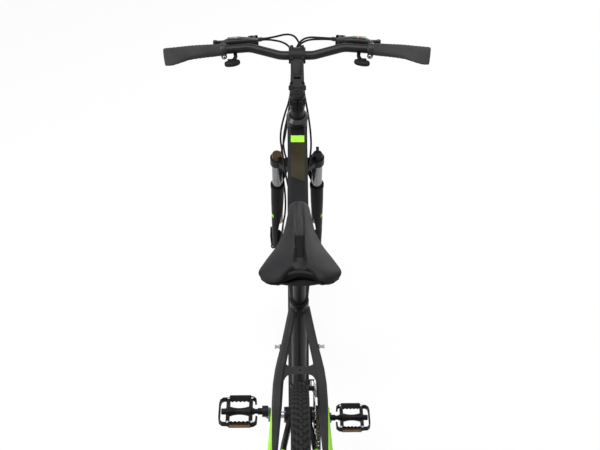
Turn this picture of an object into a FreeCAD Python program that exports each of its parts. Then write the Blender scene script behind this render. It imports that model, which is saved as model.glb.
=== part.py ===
import FreeCAD, Part
import math
import os
from FreeCAD import Placement, Rotation, Vector

os.makedirs("parts", exist_ok=True)

# Hybrid bicycle, millimetres. X to the rider's right, Y forward, Z up.
# The origin lies on the ground, halfway between the two wheel axles.

# Wheels
wheelbase = 1082.0
wheel_radius = 352.0
tyre_width = 40.0
tyre_wall = 3.0
rim_seat_radius = 309.0
rim_width = 25.0
rim_wall = 1.5
rim_flange_height = 6.0
rim_depth = 16.0
spoke_count = 32
spoke_radius = 0.9
spoke_cross_angle = 62.0
spoke_lift = 0.5
flange_thickness = 3.6
flange_bolt_radius = 21.0
hub_barrel_radius = 13.0

# Axles, hubs and brake discs
front_hub_width = 100.0
rear_hub_width = 135.0
front_axle_radius = 4.5
rear_axle_radius = 5.0
locknut_radius = 8.0
locknut_width = 4.0
front_flange_x = 30.0
front_disc_flange_x = 22.0
rear_flange_x = 17.0
rear_disc_flange_x = 34.0
disc_radius = 80.0
disc_band = 14.0
disc_thickness = 1.8
front_disc_inset = 10.5
rear_disc_inset = 15.3
disc_arm_count = 6
disc_bore = 12.0
hub_right_end = 21.0
lever_stand = 14.0
cam_pin_radius = 3.0
skewer_radius = 2.5
front_lever_angle = 45.0
rear_lever_angle = 65.0
caliper_outer = 13.5
caliper_cover = 12.0
caliper_half = 19.0
caliper_depth = 26.0
caliper_inner = 11.0
pad_back = 2.3
pad_front = 1.3
caliper_pin_radius = 4.0
caliper_arm_length = 34.0
rear_caliper_angle = 25.0
front_caliper_angle = 142.0
front_arm_angle = 100.0
rear_arm_angle = 60.0
dropout_thickness = 6.5

# Frame
chain_stay_length = 454.7
bottom_bracket_drop = 59.4
seat_angle = 73.5
seat_tube_length = 525.0
seat_tube_radius = 17.0
shell_radius = 20.5
shell_width = 68.0
shell_bore = 17.0
cup_depth = 16.0
cup_flange = 3.5
head_angle = 70.93
head_tube_length = 168.0
head_tube_radius = 25.0
head_cover_overhang = 2.5
head_tube_bore_gap = 3.0
top_tube_width = 48.0
top_tube_height = 40.0
top_tube_flat = 33.0
top_tube_seat_height = 34.0
top_tube_drop = 38.0
top_tube_seat_station = 478.0
down_tube_width = 52.0
down_tube_height = 46.0
down_tube_rise = 38.0
tube_wall = 1.8
stay_bevel = 5.0
seat_stay_station = 496.0
seat_stay_depth = 20.0
chain_stay_width = 14.0
chain_stay_depth = 22.0
chain_stay_bends = [(0.03, 22.0), (0.12, 27.5), (0.255, 37.0), (0.84, 66.0), (0.95, 71.0)]
seat_stay_bends = [
    (0.0, 13.5, 18.0), (0.09, 22.6, 18.5), (0.175, 31.3, 19.5), (0.235, 38.3, 21.0), (0.28, 43.0, 22.0),
    (0.34, 47.0, 23.0), (0.43, 50.0, 23.0), (0.635, 59.5, 22.5), (0.85, 67.0, 18.0), (1.0, 71.0, 17.0)]
seat_stay_foot_forward = 15.0
seat_stay_foot_up = 25.0
rack_bolt_bend = 2
bridge_bend = 4
bridge_depth = 16.0
bridge_height = 12.0
bridge_flare = 12.0
bridge_bore = 3.0
dropout_reach = 44.0
dropout_radius = 15.0
hanger_forward = 8.0
hanger_drop = 30.0
hanger_bolt_radius = 5.0
eyelet_back = 24.0
eyelet_up = 10.0
eyelet_radius = 6.5
eyelet_bore = 2.5
band_thickness = 3.5
collar_height = 18.0
front_band_station = 152.0
front_pivot_x = 31.0
pin_radius = 2.5

# Fork and steering
fork_length = 462.0
fork_rake = 45.0
steerer_radius = 14.3
headset_stack = 9.0
spacer_stack = 32.0
stanchion_radius = 14.0
stanchion_spread = 53.5
stanchion_offset = 33.0
crown_height = 30.0
crown_socket_radius = 18.0
socket_drop = 26.0
socket_height = 24.0
fork_travel = 63.0
exposed_stanchion = 100.0
leg_top_radius = 18.0
leg_foot_radius = 14.0
leg_foot_spread = 58.0
cap_radius = 14.5
cap_height = 14.0
cap_post_radius = 4.0
leg_foot_height = 95.0
leg_end = 20.0
seal_height = 8.0
socket_depth = 20.0
arch_foot_x = 58.0
arch_low = 268.0
arch_top = 378.0
arch_thickness = 16.0
arch_back = 48.0
arch_depth = 16.0

# Stem, bar and grips
stem_clamp_height = 42.0
stem_clamp_radius = 19.0
stem_pivot_reach = 38.0
stem_reach = 110.0
stem_rise = 37.7
stem_width = 30.0
stem_cheek_half = 3.5
stem_cheek_radius = 13.0
stem_body_half = 16.0
stem_shoulder_gap = 5.0
bar_clamp_radius = 20.0
bar_clamp_width = 41.0
bar_radius = 11.1
bar_half_width = 322.0
bar_flat_half = 40.0
bar_rise = 17.0
bar_shoulder_x = 115.0
bar_shoulder_forward = 9.0
bar_sweep = 26.0
grip_inner_x = 187.0
grip_radius = 14.5
grip_wing = 31.0
grip_cap = 4.0
pod_x = 180.0
stem_pin_radius = 5.0
stem_boss_radius = 13.0
spacer_count = 3
bar_bend_radius = 60.0
grip_sides = 12
lever_length = 90.0
paddle_thickness = 4.0

# Seat post and saddle
post_radius = 13.6
post_insertion = 110.0
saddle_station = 672.0
post_head_radius = 10.0
post_head_width = 34.0
saddle_width = 161.0
saddle_length = 267.0
saddle_top_height = 70.0
saddle_clamp_back = 112.0
rail_radius = 3.5
rail_spread = 22.0
rail_lift = 4.5
shell_plate = 4.0

# Crank, rings, chain and gears
crank_length = 170.0
crank_angle = 131.3
crank_pedal_face = 88.0
crank_thickness = 14.0
spindle_radius = 8.5
chain_line = 45.0
chain_pitch = 12.7
ring_teeth = [48, 36, 26]
ring_spacing = 7.0
ring_thickness = 2.4
driven_ring = 1
ring_bolt_radius = 55.0
inner_ring_bolt_radius = 32.0
sprocket_teeth = [11, 13, 15, 18, 21, 24, 28, 32]
sprocket_pitch = 4.6
sprocket_thickness = 2.0
driven_sprocket = 3
freehub_radius = 16.0
pulley_teeth = 11
pulley_thickness = 2.4
guide_pulley_forward = 18.0
guide_pulley_drop = 94.0
cage_length = 62.0
derailleur_link_length = 38.0
derailleur_link_angle = 30.3
derailleur_pivot_x = 85.0
derailleur_pivot_rise = 9.0
cage_angle_range = (-115.0, -60.0)
cage_half = 4.6
cage_plate = 2.0
cage_plate_depth = 24.0
pulley_pin_radius = 3.5
tooth_above_pitch = 3.0
tooth_below_pitch = 4.2
crank_root_x = 69.0
chain_roller_radius = 3.7
chain_inner_half = 1.5
chain_plate = 0.8

# Pedals
pedal_inner_x = 100.0
pedal_width = 95.0
pedal_length = 84.0
pedal_height = 24.0
pedal_axle_radius = 6.0
pedal_tooth_count = 6
tooth_depth = 4.0
cage_nose = 24.0
cage_wall = 3.5
cage_ring_half = 6.5

# Fits
running_gap = 0.05
side_gap = 0.4
cable_radius = 2.5
cable_x = [-14.0, -2.0, 12.0]
guide_shares = [0.2, 0.8]
cable_joint_share = 0.0015
cable_lead = 16.0
stop_stand = 5.0
stop_inset = 6.0

# Places that follow from the sizes above
tilt = math.radians(90.0 - head_angle)
rear_axle = Vector(0, -wheelbase / 2, wheel_radius)
front_axle = Vector(0, wheelbase / 2, wheel_radius)
stay_run = math.sqrt(chain_stay_length ** 2 - bottom_bracket_drop ** 2)
bracket = rear_axle + Vector(0, stay_run, -bottom_bracket_drop)
seat_axis = Vector(0, -math.cos(math.radians(seat_angle)), math.sin(math.radians(seat_angle)))
steer_axis = Vector(0, -math.sin(tilt), math.cos(tilt))
steer_forward = Vector(0, math.cos(tilt), math.sin(tilt))
steer_foot = front_axle - steer_forward * fork_rake
fork_frame = Placement(steer_foot, Rotation(Vector(1, 0, 0), math.degrees(tilt)))
head_bottom = fork_length + headset_stack
head_top = head_bottom + head_tube_length
stem_bottom = head_top + headset_stack + spacer_stack
stem_middle = stem_bottom + stem_clamp_height / 2
stanchion_bottom = 150.0
crown_bottom = fork_length - crown_height
socket_top = fork_length - socket_drop
socket_bottom = socket_top - socket_height
leg_top = socket_bottom - exposed_stanchion
driven_teeth = ring_teeth[driven_ring]
x_axis = Vector(1, 0, 0)
y_axis = Vector(0, 1, 0)
z_axis = Vector(0, 0, 1)


# General shapes

def save(node, shapes):
    """Write one node: a single solid, or a group of solids of one body."""
    shape = shapes if isinstance(shapes, Part.Shape) else Part.makeCompound(shapes)
    shape.exportStep("parts/" + node + ".step")


def both_sides(shape):
    """A shape and its mirror image across the middle plane."""
    return [shape, left_of(shape)]


def left_of(shape):
    return shape.mirror(Vector(0, 0, 0), x_axis)


def fuse(shapes):
    first, *others = shapes
    return first.fuse(others).removeSplitter()


def rod(start, end, radius, bore=0.0):
    """Round bar between two points, or a tube when it has a bore."""
    run = end - start
    solid = Part.makeCylinder(radius, run.Length, start, run)
    if bore:
        solid = solid.cut(Part.makeCylinder(bore, run.Length, start, run))
    return solid


def disc(x_from, x_to, radius, centre=Vector(0, 0, 0), bore=0.0):
    """Round slab across X about a centre in the YZ plane."""
    start = Vector(x_from, centre.y, centre.z)
    end = Vector(x_to, centre.y, centre.z)
    return rod(start, end, radius, bore)


def block(low, high):
    size = high - low
    return Part.makeBox(size.x, size.y, size.z, low)


def turned(profile, centre):
    """Revolve (x, radius) points, or a ready wire, about the X line through a centre."""
    if isinstance(profile, list):
        points = [Vector(x, radius, 0) for x, radius in profile]
        profile = Part.makePolygon(points + points[:1])
    solid = Part.Face(profile).revolve(Vector(0, 0, 0), x_axis, 360)
    solid.translate(centre)
    return solid


def plate(points, x_from, x_to):
    """Extrude a (y, z) outline between two X positions."""
    corners = [Vector(x_from, y, z) for y, z in points]
    face = Part.Face(Part.makePolygon(corners + corners[:1]))
    return face.extrude(Vector(x_to - x_from, 0, 0))


def bar_plate(a, b, radius_a, radius_b, x_from, x_to):
    """Plate with two round ends of different size, joined by tangents, in the YZ plane."""
    run = b - a
    lean = math.atan2(run.z, run.y)
    spread = math.acos((radius_a - radius_b) / run.Length)

    def at(centre, radius, angle):
        return Vector(x_from, centre.y + radius * math.cos(angle), centre.z + radius * math.sin(angle))

    edges = [
        Part.LineSegment(at(a, radius_a, lean + spread), at(b, radius_b, lean + spread)).toShape(),
        Part.Arc(at(b, radius_b, lean + spread), at(b, radius_b, lean),
                 at(b, radius_b, lean - spread)).toShape(),
        Part.LineSegment(at(b, radius_b, lean - spread), at(a, radius_a, lean - spread)).toShape(),
        Part.Arc(at(a, radius_a, lean - spread), at(a, radius_a, lean + math.pi),
                 at(a, radius_a, lean + spread)).toShape(),
    ]
    return Part.Face(Part.Wire(edges)).extrude(Vector(x_to - x_from, 0, 0))


def bevelled(width, height, bevel):
    """Eight-cornered section of a tube, as (across, up) points."""
    w, h = width / 2, height / 2
    return [(w, -h + bevel), (w, h - bevel), (w - bevel, h), (-w + bevel, h),
            (-w, h - bevel), (-w, -h + bevel), (-w + bevel, -h), (w - bevel, -h)]


def station(centre, along, outline):
    """Closed section wire at a point of a tube's axis, square to the axis."""
    across = (x_axis - along * along.x)
    across.normalize()
    upward = along.cross(across) * (-1.0 if along.cross(across).z < 0 else 1.0)
    points = [centre + across * a + upward * b for a, b in outline]
    return Part.makePolygon(points + points[:1])


def lofted(wires):
    return Part.makeLoft(wires, True, True)


def rounded_path(points, radius_share=0.45, radius_limit=1e9):
    """Straight runs joined by tangent arcs, each as large as its two runs allow."""
    edges = []
    start = points[0]
    for before, corner, after in zip(points, points[1:], points[2:]):
        incoming = (corner - before).normalize()
        outgoing = (after - corner).normalize()
        half_turn = incoming.getAngle(outgoing) / 2
        reach = radius_share * min((corner - before).Length, (after - corner).Length)
        reach = min(reach, radius_limit * math.tan(half_turn))
        radius = reach / math.tan(half_turn)
        arc_in = corner - incoming * reach
        arc_out = corner + outgoing * reach
        inward = (outgoing - incoming).normalize()
        middle = corner + inward * (radius / math.cos(half_turn) - radius)
        edges.append(Part.LineSegment(start, arc_in).toShape())
        edges.append(Part.Arc(arc_in, middle, arc_out).toShape())
        start = arc_out
    edges.append(Part.LineSegment(start, points[-1]).toShape())
    return Part.Wire(edges)


def swept(points, radius, radius_share=0.45, radius_limit=1e9):
    """Round tube along a rounded path."""
    path = rounded_path(points, radius_share, radius_limit)
    circle = Part.makeCircle(radius, points[0], points[1] - points[0])
    return path.makePipeShell([Part.Wire(circle)], True, False)


def in_fork(shape):
    """Place a shape drawn upright about the steering axis, axle height at zero."""
    placed = shape.copy()
    placed.Placement = fork_frame.multiply(placed.Placement)
    return placed


def seat_point(distance, x=0.0):
    """Point of the seat tube's axis at a distance above the bottom bracket."""
    return bracket + seat_axis * distance + Vector(x, 0, 0)


def tooth_outline(teeth, thickness_share, tip, root, phase):
    """Toothed outline as (y, z) points about the centre: a gullet at the phase angle."""
    outline = []
    step = 2 * math.pi / teeth
    for tooth in range(teeth):
        for share, radius in ((-thickness_share, root), (thickness_share, root), (0.5, tip)):
            angle = phase + (tooth + share) * step
            outline.append((radius * math.cos(angle), radius * math.sin(angle)))
    return outline


def pitch_radius(teeth):
    return chain_pitch / (2 * math.sin(math.pi / teeth))


def toothed(teeth, x, thickness, centre, phase, bore):
    """Toothed wheel with a round hole, centred on one X plane."""
    pitch = pitch_radius(teeth)
    outline = tooth_outline(teeth, 0.2, pitch + tooth_above_pitch, pitch - tooth_below_pitch, phase)
    placed = [(centre.y + y, centre.z + z) for y, z in outline]
    wheel = plate(placed, x - thickness / 2, x + thickness / 2)
    return wheel.cut(disc(x - thickness, x + thickness, bore, centre))


# Frame

def head_tube_core(radius):
    """Upright cylinder on the steering axis, longer than the head tube, for trimming."""
    return in_fork(rod(Vector(0, 0, head_bottom - 60), Vector(0, 0, head_top + 60), radius))


def seat_tube_core(radius):
    return rod(seat_point(-40), seat_point(seat_tube_length + 60), radius)


def shell_core(radius):
    return disc(-shell_width, shell_width, radius, bracket)


def head_tube():
    return in_fork(rod(Vector(0, 0, head_bottom), Vector(0, 0, head_top), head_tube_radius,
                       steerer_radius + head_tube_bore_gap))


def top_tube_outline(width, flat, height):
    """Flat-topped section with bevelled shoulders and a rounder belly."""
    w, h, f = width / 2, height / 2, flat / 2
    return [(w, -h * 0.4), (w, h * 0.5), (f, h), (-f, h), (-w, h * 0.5), (-w, -h * 0.4),
            (-w * 0.5, -h), (w * 0.5, -h)]


def tube_between(front, rear, sections):
    """Hollow tube lofted through (share of the run, outline, bore outline) sections."""
    along = (rear - front).normalize()
    run = (rear - front).Length
    outer = lofted([station(front + along * run * share, along, o) for share, o, i in sections])
    inner = lofted([station(front + along * run * share, along, i) for share, o, i in sections])
    return outer.cut(inner)


def top_tube():
    front = fork_frame.multVec(Vector(0, 0, head_top - top_tube_drop))
    rear = seat_point(top_tube_seat_station)
    seat_width = 2 * seat_tube_radius - 1.0
    wall = 2 * tube_wall

    def sections(share, width, flat, height):
        return (share, top_tube_outline(width, flat, height),
                top_tube_outline(width - wall, flat - wall, height - wall))

    tube = tube_between(front, rear, [
        sections(0.0, top_tube_width, top_tube_flat, top_tube_height),
        sections(0.86, top_tube_width, top_tube_flat, top_tube_seat_height),
        sections(1.0, seat_width, seat_width * 0.7, top_tube_seat_height)])
    return tube.cut(head_tube_core(head_tube_radius)).cut(seat_tube_core(seat_tube_radius))


def down_tube_ends():
    return fork_frame.multVec(Vector(0, 0, head_bottom + down_tube_rise)), bracket


def down_tube():
    front, rear = down_tube_ends()
    wall = 2 * tube_wall
    shell_height = 2 * shell_radius - 4.0

    def sections(share, width, height):
        return (share, bevelled(width, height, height * 0.28),
                bevelled(width - wall, height - wall, height * 0.25))

    tube = tube_between(front, rear, [
        sections(0.0, 2 * head_tube_radius - 2.0, down_tube_height),
        sections(0.16, down_tube_width, down_tube_height),
        sections(0.85, down_tube_width, down_tube_height),
        sections(1.0, shell_width - 16.0, shell_height)])
    for core in (head_tube_core(head_tube_radius), seat_tube_core(seat_tube_radius),
                 shell_core(shell_radius)):
        tube = tube.cut(core)
    return tube


def seat_tube():
    """Seat tube and the bottom-bracket shell that it is welded to."""
    bore = post_radius + running_gap
    tube = rod(seat_point(0), seat_point(seat_tube_length), seat_tube_radius, bore)
    shell = disc(-shell_width / 2, shell_width / 2, shell_radius, bracket, shell_bore)
    return [tube.cut(shell_core(shell_radius)), shell]


def stay(points, widths, depth):
    """Solid stay with bevelled edges through a row of points, square to the path."""
    wires = []
    for index, (point, width) in enumerate(zip(points, widths)):
        before = points[max(index - 1, 0)]
        after = points[min(index + 1, len(points) - 1)]
        along = (after - before).normalize()
        wires.append(station(point, along, bevelled(width, depth, stay_bevel)))
    return lofted(wires)


def chain_stay_points():
    return [bracket + (rear_axle - bracket) * share + Vector(x, 0, 0) for share, x in chain_stay_bends]


def seat_stay_point(share, x):
    top = seat_point(seat_stay_station)
    foot = rear_axle + Vector(0, seat_stay_foot_forward, seat_stay_foot_up)
    return top + (foot - top) * share + Vector(x, 0, 0)


def right_dropout():
    """Axle plate with an open slot and two arms that reach into the stays."""
    inner = rear_hub_width / 2
    outer = inner + dropout_thickness
    centre = rear_axle
    arms = []
    for target in (chain_stay_points()[-2], seat_stay_point(0.9, 0)):
        direction = Vector(0, target.y - centre.y, target.z - centre.z).normalize()
        arms.append(bar_plate(centre, centre + direction * dropout_reach, dropout_radius, 6.0, inner, outer))
    eyelet = centre + Vector(0, -eyelet_back, eyelet_up)
    arms.append(bar_plate(centre, eyelet, dropout_radius, eyelet_radius, inner, outer))
    slot = rear_axle_radius + running_gap
    opening = block(Vector(inner - 1, centre.y - slot, centre.z - 40),
                    Vector(outer + 1, centre.y + slot, centre.z))
    hole = disc(inner - 1, outer + 1, slot, centre)
    bolt_hole = disc(inner - 1, outer + 1, eyelet_bore, eyelet)
    return fuse(arms).cut(opening).cut(hole).cut(bolt_hole)


def hanger_point():
    return rear_axle + Vector(0, hanger_forward, -hanger_drop)


def dropouts():
    """Left plate, and the right one with its tail that carries the gear mechanism."""
    inner = rear_hub_width / 2
    outer = inner + dropout_thickness
    slot_side = rear_axle + Vector(0, dropout_radius - 3.0, -6.0)
    tail = bar_plate(slot_side, hanger_point(), 8.0, 9.0, inner, outer)
    slot = rear_axle_radius + running_gap
    tail = tail.cut(disc(inner - 1, outer + 1, slot, rear_axle))
    bolt_hole = disc(inner - 1, outer + 1, hanger_bolt_radius, hanger_point())
    plate_right = fuse([right_dropout(), tail]).cut(bolt_hole)
    return [left_of(right_dropout()), plate_right]


def chain_stays(dropout_plates):
    left_plate, right_plate = dropout_plates
    points = chain_stay_points()
    right = stay(points, [chain_stay_width] * len(points), chain_stay_depth)
    right = right.cut(shell_core(shell_radius)).cut(seat_tube_core(seat_tube_radius))
    right = right.cut(down_tube_trim())
    left = left_of(right)
    return [right.cut(right_plate), left.cut(left_plate)]


def down_tube_trim():
    """Plain prism of the down tube's lower end, for trimming the chain stays."""
    front, rear = down_tube_ends()
    along = (rear - front).normalize()
    wires = [station(rear - along * 160.0, along, bevelled(down_tube_width, down_tube_height, 10.0)),
             station(rear, along, bevelled(down_tube_width, down_tube_height, 10.0))]
    return lofted(wires)


def seat_stays(dropout_plates, lower_stays):
    """Wishbone of two stays with a drilled bridge above the tyre."""
    left_plate, right_plate = dropout_plates
    points = [seat_stay_point(share, x) for share, x, width in seat_stay_bends]
    widths = [width for share, x, width in seat_stay_bends]
    right = stay(points, widths, seat_stay_depth).cut(seat_tube_core(seat_tube_radius))
    right = right.cut(lower_stays[0])
    left = left_of(right)
    right, left = right.cut(right_plate), left.cut(left_plate)
    return [right, left, stay_bridge().cut(right).cut(left)]


def bridge_place():
    """Middle of the seat-stay bridge, the direction down the stays, and the one square to them."""
    along = seat_stay_point(1.0, 0) - seat_stay_point(0.0, 0)
    along = along.normalize()
    return seat_stay_point(seat_stay_bends[bridge_bend][0], 0), along, x_axis.cross(along)


def stay_bridge():
    """Drilled plate between the stays, flared where it meets them."""
    middle, along, normal = bridge_place()
    share, reach, width = seat_stay_bends[bridge_bend]
    inner, half = reach - width / 2 + 1.0, bridge_depth / 2
    edge = [(inner - 15, half), (inner - 6, half + bridge_flare * 0.25),
            (inner - 2, half + bridge_flare * 0.6), (inner, half + bridge_flare), (reach, half + bridge_flare)]
    front = edge + [(x, -y) for x, y in reversed(edge)]
    outline = front + [(-x, y) for x, y in reversed(front)]
    corners = [middle + x_axis * x + along * y - normal * (bridge_height / 2) for x, y in outline]
    bridge = Part.Face(Part.makePolygon(corners + corners[:1])).extrude(normal * bridge_height)
    return bridge.cut(rod(middle - normal * 20, middle + normal * 20, bridge_bore))


def bearing_cups():
    """Upper and lower headset cups, and the two bottom-bracket cups."""
    bore = steerer_radius + running_gap
    cover = Part.makeCone(head_tube_radius + head_cover_overhang, head_tube_radius - 4.5,
                          headset_stack - side_gap, Vector(0, 0, head_top))
    cover = cover.cut(rod(Vector(0, 0, head_top - 1), Vector(0, 0, head_top + 40), bore))
    race = rod(Vector(0, 0, fork_length + side_gap), Vector(0, 0, head_bottom), head_tube_radius, bore)
    edge = shell_width / 2
    cup = fuse([disc(edge - cup_depth, edge, shell_bore, bracket),
                disc(edge, edge + cup_flange, shell_radius, bracket)])
    cup = cup.cut(disc(0, edge + 20, spindle_radius + running_gap, bracket))
    return [in_fork(cover), in_fork(race)] + both_sides(cup)


def collar(distance, height):
    """Split band round the seat tube."""
    half = height / 2
    return rod(seat_point(distance - half), seat_point(distance + half), seat_tube_radius + band_thickness,
               seat_tube_radius)


def seat_tube_clamps():
    """Seat-post collar with its pinch ears, and the band that carries the front gear mechanism."""
    centre = seat_tube_length - collar_height / 2
    backward = seat_axis.cross(x_axis)
    if backward.y > 0:
        backward = backward * -1.0
    ear_root = seat_point(centre) + backward * (seat_tube_radius + band_thickness / 2)
    ears = []
    for side in (-1, 1):
        root = ear_root + Vector(side * 4.5, 0, 0)
        ears.append(rod(root, root + backward * 11.0, 5.5))
    bolt = disc(-13, 13, 2.5, ear_root + backward * 8.0)
    upper = fuse([collar(centre, collar_height)] + ears + [bolt]).cut(seat_tube_core(seat_tube_radius))
    pivot = front_pivot()
    band = collar(front_band_station, 14.0)
    arm = block(Vector(seat_tube_radius - 4, pivot.y - 14, pivot.z - 6),
                Vector(pivot.x - 8, pivot.y + 14, pivot.z + 6))
    lugs = [block(Vector(pivot.x - 9, pivot.y + side * 11.5 - 2.5, pivot.z - 6),
                  Vector(pivot.x + 6, pivot.y + side * 11.5 + 2.5, pivot.z + 6)) for side in (-1, 1)]
    pin = rod(pivot - Vector(0, 12, 0), pivot + Vector(0, 12, 0), pin_radius)
    lower = fuse([band, arm, pin] + lugs).cut(seat_tube_core(seat_tube_radius))
    return [upper, lower]


def front_pivot():
    """Hinge point of the front gear mechanism, beside the seat tube."""
    return seat_point(front_band_station, front_pivot_x)


# Fork

def leg_axis(height, side=1):
    """Point of a fork leg's centre line; the lower leg leans out to clear the brake disc."""
    share = min(max((leg_top - height) / (leg_top - leg_foot_height), 0.0), 1.0)
    spread = stanchion_spread + (leg_foot_spread - stanchion_spread) * share
    return Vector(side * spread, stanchion_offset, height)


def fork_crown():
    """Steerer, crown with two sockets, and the posts that the leg caps turn on."""
    steerer_top = stem_bottom + stem_clamp_height - 2
    steerer = rod(Vector(0, 0, crown_bottom + 4), Vector(0, 0, steerer_top), steerer_radius)
    outline = [(-22, -14), (-10, -22), (10, -22), (22, -14), (22, 14), (12, 22), (-12, 22), (-22, 14)]
    corners = [Vector(x, y, crown_bottom) for x, y in outline]
    hub = Part.Face(Part.makePolygon(corners + corners[:1])).extrude(Vector(0, 0, crown_height))
    pieces = [steerer, hub, crown_arm(), left_of(crown_arm())]
    feet = [Vector(side * stanchion_spread, stanchion_offset, socket_bottom) for side in (-1, 1)]
    for foot in feet:
        pieces.append(rod(foot, foot + Vector(0, 0, socket_height), crown_socket_radius))
        pieces.append(rod(foot, foot + Vector(0, 0, socket_height + cap_height - 2), cap_post_radius))
    crown = fuse(pieces)
    for foot in feet:
        crown = crown.cut(rod(foot - Vector(0, 0, 5), foot + Vector(0, 0, socket_depth), stanchion_radius))
    return in_fork(crown)


def crown_arm():
    """Right arm of the crown, dropping from the steerer's block to the socket."""
    low, high = socket_bottom + 2, socket_top - 2
    root = [(14, -16, crown_bottom + 2), (14, 18, crown_bottom + 2), (14, 18, fork_length - 2),
            (14, -16, fork_length - 2)]
    back, front = stanchion_offset - 13, stanchion_offset + 13
    end = [(stanchion_spread, back, low), (stanchion_spread, front, low), (stanchion_spread, front, high),
           (stanchion_spread, back, high)]
    bend = [(34, 2, low + 4), (34, 32, low + 4), (34, 32, high), (34, 2, high)]
    rings = [[Vector(*spot) for spot in ring] for ring in (root, bend, end)]
    return lofted([Part.makePolygon(ring + ring[:1]) for ring in rings])


def stanchions():
    tops = [Vector(side * stanchion_spread, stanchion_offset, socket_bottom + socket_depth)
            for side in (-1, 1)]
    tubes = [rod(Vector(top.x, top.y, stanchion_bottom), top, stanchion_radius, stanchion_radius - 1.6)
             for top in tops]
    return [in_fork(tube) for tube in tubes]


def leg_cap(side):
    """Round cap over one leg, turning on the crown's post."""
    foot = Vector(side * stanchion_spread, stanchion_offset, socket_top + side_gap)
    cap = Part.makeCone(cap_radius, cap_radius - 2.5, cap_height, foot)
    return cap.cut(rod(foot - Vector(0, 0, 1), foot + Vector(0, 0, cap_height - 2 - side_gap + 0.3),
                       cap_post_radius + running_gap)), foot


def preload_knob():
    """Left cap with six finger flutes."""
    knob, foot = leg_cap(-1)
    for index in range(6):
        angle = index * math.pi / 3
        spot = foot + Vector(cap_radius * math.cos(angle), cap_radius * math.sin(angle), 3)
        knob = knob.cut(rod(spot, spot + Vector(0, 0, cap_height), 2.4))
    return in_fork(knob)


def lockout_lever():
    """Right cap with a finger tab that points forward and outward."""
    cap, foot = leg_cap(1)
    root = foot + Vector(0, 0, cap_height - 5)
    tab = block(root + Vector(-4, 4, 0), root + Vector(4, cap_radius + 7, 8))
    tab = tab.cut(rod(foot - Vector(0, 0, 1), foot + Vector(0, 0, 30), cap_post_radius + 1))
    return in_fork(fuse([cap, tab]))


def leg(side):
    """One lower leg: a tapered tube with a seal collar, bored for its stanchion."""
    rings = [(leg_top, leg_top_radius), (leg_top - 60, leg_top_radius - 0.5),
             (leg_foot_height, leg_foot_radius), (leg_end, leg_foot_radius - 1)]
    wires = [Part.Wire(Part.makeCircle(radius, leg_axis(height, side), z_axis)) for height, radius in rings]
    top = Vector(side * stanchion_spread, stanchion_offset, leg_top)
    seal = rod(top - Vector(0, 0, 4), top + Vector(0, 0, seal_height), leg_top_radius + 1.2)
    solid = fuse([lofted(wires), seal])
    bore_bottom = Vector(top.x, top.y, stanchion_bottom - fork_travel - 4)
    return solid.cut(rod(bore_bottom, top + Vector(0, 0, 40), stanchion_radius + running_gap))


def fork_dropout(side):
    """Slotted axle plate under one leg."""
    inner = front_hub_width / 2
    outer = inner + dropout_thickness
    axle = Vector(0, fork_rake, 0)
    top = Vector(0, stanchion_offset, leg_end + 8)
    tab = bar_plate(axle, top, 13.0, 9.0, inner, outer)
    slot = front_axle_radius + running_gap
    tab = tab.cut(disc(inner - 1, outer + 1, slot, axle))
    tab = tab.cut(block(Vector(inner - 1, axle.y - slot, -40), Vector(outer + 1, axle.y + slot, 0)))
    return tab if side > 0 else left_of(tab)


def fork_lowers():
    """Both legs joined by the arch ahead of the tyre, with the axle plates."""
    arch_points = [(-arch_foot_x, arch_low), (-arch_foot_x, arch_low + 32), (-30, arch_top), (30, arch_top),
                   (arch_foot_x, arch_low + 32), (arch_foot_x, arch_low), (arch_foot_x - 15, arch_low),
                   (arch_foot_x - 15, arch_low + 24), (24, arch_top - arch_thickness),
                   (-24, arch_top - arch_thickness), (-arch_foot_x + 15, arch_low + 24),
                   (-arch_foot_x + 15, arch_low)]
    corners = [Vector(x, arch_back, z) for x, z in arch_points]
    arch = Part.Face(Part.makePolygon(corners + corners[:1])).extrude(Vector(0, arch_depth, 0))
    pieces = [leg(-1), leg(1), arch, fork_dropout(-1), fork_dropout(1)]
    lowers = fuse(pieces)
    for side in (-1, 1):
        foot = Vector(side * stanchion_spread, stanchion_offset, stanchion_bottom - fork_travel - 4)
        lowers = lowers.cut(rod(foot, Vector(foot.x, foot.y, leg_top + 60), stanchion_radius + running_gap))
    return in_fork(lowers)


# Stem, handlebar and controls

def stem_pivot():
    return Vector(0, stem_pivot_reach, stem_middle)


def bar_centre():
    return Vector(0, stem_reach, stem_middle + stem_rise)


def stem_base():
    """Steerer clamp with pivot ears, spacers under it and the cap on top."""
    low = Vector(0, 0, stem_bottom)
    high = Vector(0, 0, stem_bottom + stem_clamp_height)
    pivot = stem_pivot()
    body = rod(low, high, stem_clamp_radius)
    cheeks = [bar_plate(Vector(0, 0, pivot.z), pivot, 15.0, stem_cheek_radius,
                        side * stem_width / 2 - stem_cheek_half, side * stem_width / 2 + stem_cheek_half)
              for side in (-1, 1)]
    hub = disc(-stem_width / 2, stem_width / 2, stem_pin_radius, pivot)
    back = block(Vector(-11, -stem_clamp_radius - 5, stem_bottom + 3),
                 Vector(11, -10, stem_bottom + stem_clamp_height - 3))
    base = fuse([body, back, hub] + cheeks)
    base = base.cut(rod(low - Vector(0, 0, 5), high + Vector(0, 0, 5), steerer_radius))
    base = base.cut(block(Vector(-1, -40, stem_bottom - 1), Vector(1, 0, stem_bottom + 60)))
    pieces = [base]
    for index in range(spacer_count):
        height = spacer_stack / spacer_count
        foot = Vector(0, 0, head_top + headset_stack + index * height)
        pieces.append(rod(foot, foot + Vector(0, 0, height), steerer_radius + 3.2, steerer_radius))
    pieces.append(Part.makeCone(stem_clamp_radius - 1, stem_clamp_radius - 4, 4.0, high))
    return [in_fork(piece) for piece in pieces]


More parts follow.
